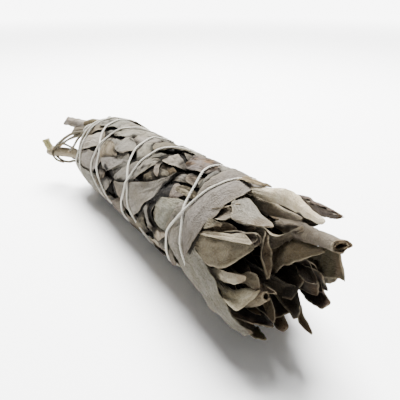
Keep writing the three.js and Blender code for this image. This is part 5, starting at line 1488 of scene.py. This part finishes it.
def thread_tree():
    """Geometry Nodes: plies twisted round a path."""
    ply_place, ply_radius, ply_sides = 0.52, 0.56, 6
    tree = bpy.data.node_groups.new("Twisted thread", "GeometryNodeTree")
    face = tree.interface
    face.new_socket("Path", in_out="INPUT", socket_type="NodeSocketGeometry")
    for label, kind, default in (
        ("Plies", "NodeSocketInt", 3),
        ("Thread radius", "NodeSocketFloat", 0.00048),
        ("Twist length", "NodeSocketFloat", 0.0034),
        ("Step", "NodeSocketFloat", 0.0006),
        ("Material", "NodeSocketMaterial", None),
    ):
        socket = face.new_socket(label, in_out="INPUT", socket_type=kind)
        if default is not None:
            socket.default_value = default
    face.new_socket("Thread", in_out="OUTPUT", socket_type="NodeSocketGeometry")
    make = Nodes(tree)
    given = make.node("NodeGroupInput").outputs
    result = tree.nodes.new("NodeGroupOutput")
    line = make.node("GeometryNodeMeshToCurve", {"Mesh": given["Path"]}).outputs[0]
    even = make.node("GeometryNodeResampleCurve", {"Curve": line, "Length": given["Step"]}, mode="LENGTH")
    inputs = {0: even.outputs[0], "Amount": given["Plies"]}
    copies = make.node("GeometryNodeDuplicateElements", inputs, domain="SPLINE")
    length = make.node("GeometryNodeSplineParameter").outputs["Length"]
    turns = make.maths("DIVIDE", length, given["Twist length"])
    phase = make.maths("DIVIDE", copies.outputs["Duplicate Index"], given["Plies"])
    turn = make.times(make.add(turns, phase), 2 * math.pi)
    normal = make.node("GeometryNodeInputNormal").outputs[0]
    tangent = make.node("GeometryNodeInputTangent").outputs[0]
    third = make.node("ShaderNodeVectorMath", {0: tangent, 1: normal}, operation="CROSS_PRODUCT").outputs[0]
    lay = make.times(given["Thread radius"], ply_place)
    shifts = []
    for operation, vector in (("COSINE", normal), ("SINE", third)):
        scale = make.times(make.maths(operation, turn), lay)
        shifts.append(make.node("ShaderNodeVectorMath", {0: vector, "Scale": scale}, operation="SCALE"))
    inputs = {0: shifts[0].outputs[0], 1: shifts[1].outputs[0]}
    offset = make.node("ShaderNodeVectorMath", inputs, operation="ADD").outputs[0]
    moved = make.node("GeometryNodeSetPosition", {"Geometry": copies.outputs[0], "Offset": offset}).outputs[0]
    inputs = {"Resolution": ply_sides, "Radius": make.times(given["Thread radius"], ply_radius)}
    ply = make.node("GeometryNodeCurvePrimitiveCircle", inputs).outputs[0]
    inputs = {"Curve": moved, "Profile Curve": ply, "Fill Caps": True}
    tube = make.node("GeometryNodeCurveToMesh", inputs).outputs[0]
    real = make.node("GeometryNodeRealizeInstances", {"Geometry": tube}).outputs[0]
    finished = make.node("GeometryNodeSetMaterial", {"Geometry": real, "Material": given["Material"]})
    tree.links.new(finished.outputs[0], result.inputs[0])
    return tree


def baked(carrier, tree, values):
    """The plain mesh object that a Geometry Nodes tree makes of a carrier, which is then removed."""
    modifier = carrier.modifiers.new(tree.name, "NODES")
    modifier.node_group = tree
    names = {item.name: item.identifier for item in tree.interface.items_tree if item.in_out == "INPUT"}
    for key, value in values.items():
        modifier[names[key]] = value
    bpy.context.view_layer.update()
    graph = bpy.context.evaluated_depsgraph_get()
    mesh = bpy.data.meshes.new_from_object(carrier.evaluated_get(graph), depsgraph=graph)
    name = carrier.name
    bpy.data.objects.remove(carrier)
    mesh.name = name
    mesh.polygons.foreach_set("use_smooth", np.ones(len(mesh.polygons), dtype=bool))
    return linked(name, mesh)


# Stage

FLOOR_REACH = 6.0
SENSOR_WIDTH = 36.0
CAMERA_PLACE = (0.17349, -0.08465, 0.11207)
CAMERA_AIM = (-0.77840, 0.46548, -0.42121)
KEY_PLACE, KEY_SIZE = (-0.34, 0.20, 0.78), 0.6
FILL_PLACE, FILL_SIZE = (0.10, -0.75, 0.45), 0.7
LIGHT_AIM = (0, 0, 0.02)


def pale_floor(backdrop):
    """A pale paper floor, whose far part is as white to the camera as what is behind it."""
    glow_start, glow_end = 0.5, 1.7
    corners = [(x * FLOOR_REACH, y * FLOOR_REACH, 0) for x, y in ((-1, -1), (1, -1), (1, 1), (-1, 1))]
    mesh = bpy.data.meshes.new("floor")
    mesh.from_pydata(corners, [], [(0, 1, 2, 3)])
    paper = Finish("Pale floor", roughness=0.9)
    paper.colour((0.93, 0.93, 0.925, 1.0))
    seen = paper.node("ShaderNodeLightPath").outputs["Is Camera Ray"]
    distance = paper.node("ShaderNodeVectorMath", {0: paper.object_place()}, operation="LENGTH")
    far = paper.times(seen, paper.ramp(distance.outputs["Value"], glow_start, glow_end))
    glow = paper.mix(far, (0.0, 0.0, 0.0, 1.0), (1.0, 1.0, 1.0, 1.0))
    paper.connect(glow, paper.surface.inputs["Emission Color"])
    paper.surface.inputs["Emission Strength"].default_value = backdrop
    mesh.materials.append(paper.material)
    return linked("floor", mesh)


def white_surroundings(sky, backdrop):
    """Soft light from all round, and a bright white where the camera sees past the floor."""
    world = bpy.data.worlds.new("White surroundings")
    world.use_nodes = True
    around = Nodes(world.node_tree)
    background = world.node_tree.nodes["Background"].inputs
    background["Color"].default_value = (1.0, 1.0, 1.0, 1.0)
    seen = around.node("ShaderNodeLightPath").outputs["Is Camera Ray"]
    around.connect(around.add(around.times(seen, backdrop - sky), sky), background["Strength"])
    return world


def aimed(thing, location, direction):
    thing.location = location
    thing.rotation_euler = Vector(direction).to_track_quat("-Z", "Y").to_euler()


def softbox(name, location, size, power):
    light = bpy.data.lights.new(name, "AREA")
    light.size = size
    light.energy = power
    aimed(linked(name, light), location, Vector(LIGHT_AIM) - Vector(location))


# Operators


class SAGE_OT_grow_sprigs(bpy.types.Operator):
    """Make the eight sprigs: pressed cores, stems, wrapping leaves and loose leaf tips"""

    bl_idname = "sage.grow_sprigs"
    bl_label = "Grow sprigs"

    def execute(self, context):
        materials = [leaf_material(), stem_material(), core_material()]
        for number, sheets in enumerate(bundle()[0], start=1):
            piece = join_sheets(f"leafy_sprig_{number}", sheets, materials)
            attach(piece, "root")
            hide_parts(f"sprig_{number}")
        return {"FINISHED"}


class SAGE_OT_wind_thread(bpy.types.Operator):
    """Wind the twisted cotton thread over the leaves"""

    bl_idname = "sage.wind_thread"
    bl_label = "Wind thread"

    def execute(self, context):
        settings = context.scene.sage_thread
        points, edges = [], []
        for path in wound_path():
            start = len(points)
            points.extend((path * MM).tolist())
            edges.extend((i, i + 1) for i in range(start, len(points) - 1))
        mesh = bpy.data.meshes.new("cotton_thread")
        mesh.from_pydata(points, edges, [])
        values = {
            "Plies": settings.plies,
            "Thread radius": settings.radius,
            "Twist length": settings.twist,
            "Material": cotton_material(),
        }
        piece = baked(linked("cotton_thread", mesh), thread_tree(), values)
        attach(piece, "root")
        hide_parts("thread")
        return {"FINISHED"}


class SAGE_OT_set_stage(bpy.types.Operator):
    """Make the pale floor, the soft lights and the camera"""

    bl_idname = "sage.set_stage"
    bl_label = "Set stage"

    def execute(self, context):
        settings = context.scene.sage_stage
        pale_floor(settings.backdrop)
        context.scene.world = white_surroundings(settings.sky, settings.backdrop)
        softbox("Key softbox", KEY_PLACE, KEY_SIZE, settings.key_power)
        softbox("Fill softbox", FILL_PLACE, FILL_SIZE, settings.fill_power)
        camera = bpy.data.cameras.new("Camera")
        camera.lens = settings.lens
        camera.sensor_width = SENSOR_WIDTH
        camera.clip_start = 0.01
        eye = linked("Camera", camera)
        aimed(eye, CAMERA_PLACE, CAMERA_AIM)
        context.scene.camera = eye
        return {"FINISHED"}


class SAGE_PT_panel(bpy.types.Panel):
    bl_idname = "SAGE_PT_panel"
    bl_label = "Sage Smudge Stick"
    bl_space_type = "VIEW_3D"
    bl_region_type = "UI"
    bl_category = "Sage"

    def draw(self, context):
        scene = context.scene
        for settings in (scene.sage_shape, scene.sage_thread, scene.sage_colours, scene.sage_stage):
            box = self.layout.box()
            for key in settings.__annotations__:
                box.prop(settings, key)
        for operator in (SAGE_OT_grow_sprigs, SAGE_OT_wind_thread, SAGE_OT_set_stage):
            self.layout.operator(operator.bl_idname)


CLASSES = (
    SageBundleShape,
    SageThreadShape,
    SageColours,
    SageStageSettings,
    SAGE_OT_grow_sprigs,
    SAGE_OT_wind_thread,
    SAGE_OT_set_stage,
    SAGE_PT_panel,
)


def register():
    for cls in CLASSES:
        bpy.utils.register_class(cls)
    bpy.types.Scene.sage_shape = bpy.props.PointerProperty(type=SageBundleShape)
    bpy.types.Scene.sage_thread = bpy.props.PointerProperty(type=SageThreadShape)
    bpy.types.Scene.sage_colours = bpy.props.PointerProperty(type=SageColours)
    bpy.types.Scene.sage_stage = bpy.props.PointerProperty(type=SageStageSettings)


def unregister():
    for name in ("sage_shape", "sage_thread", "sage_colours", "sage_stage"):
        delattr(bpy.types.Scene, name)
    for cls in reversed(CLASSES):
        bpy.utils.unregister_class(cls)


def main():
    register()
    bpy.ops.sage.grow_sprigs()
    bpy.ops.sage.wind_thread()
    bpy.ops.sage.set_stage()
    bpy.context.view_layer.update()


if __name__ == "__main__":
    main()
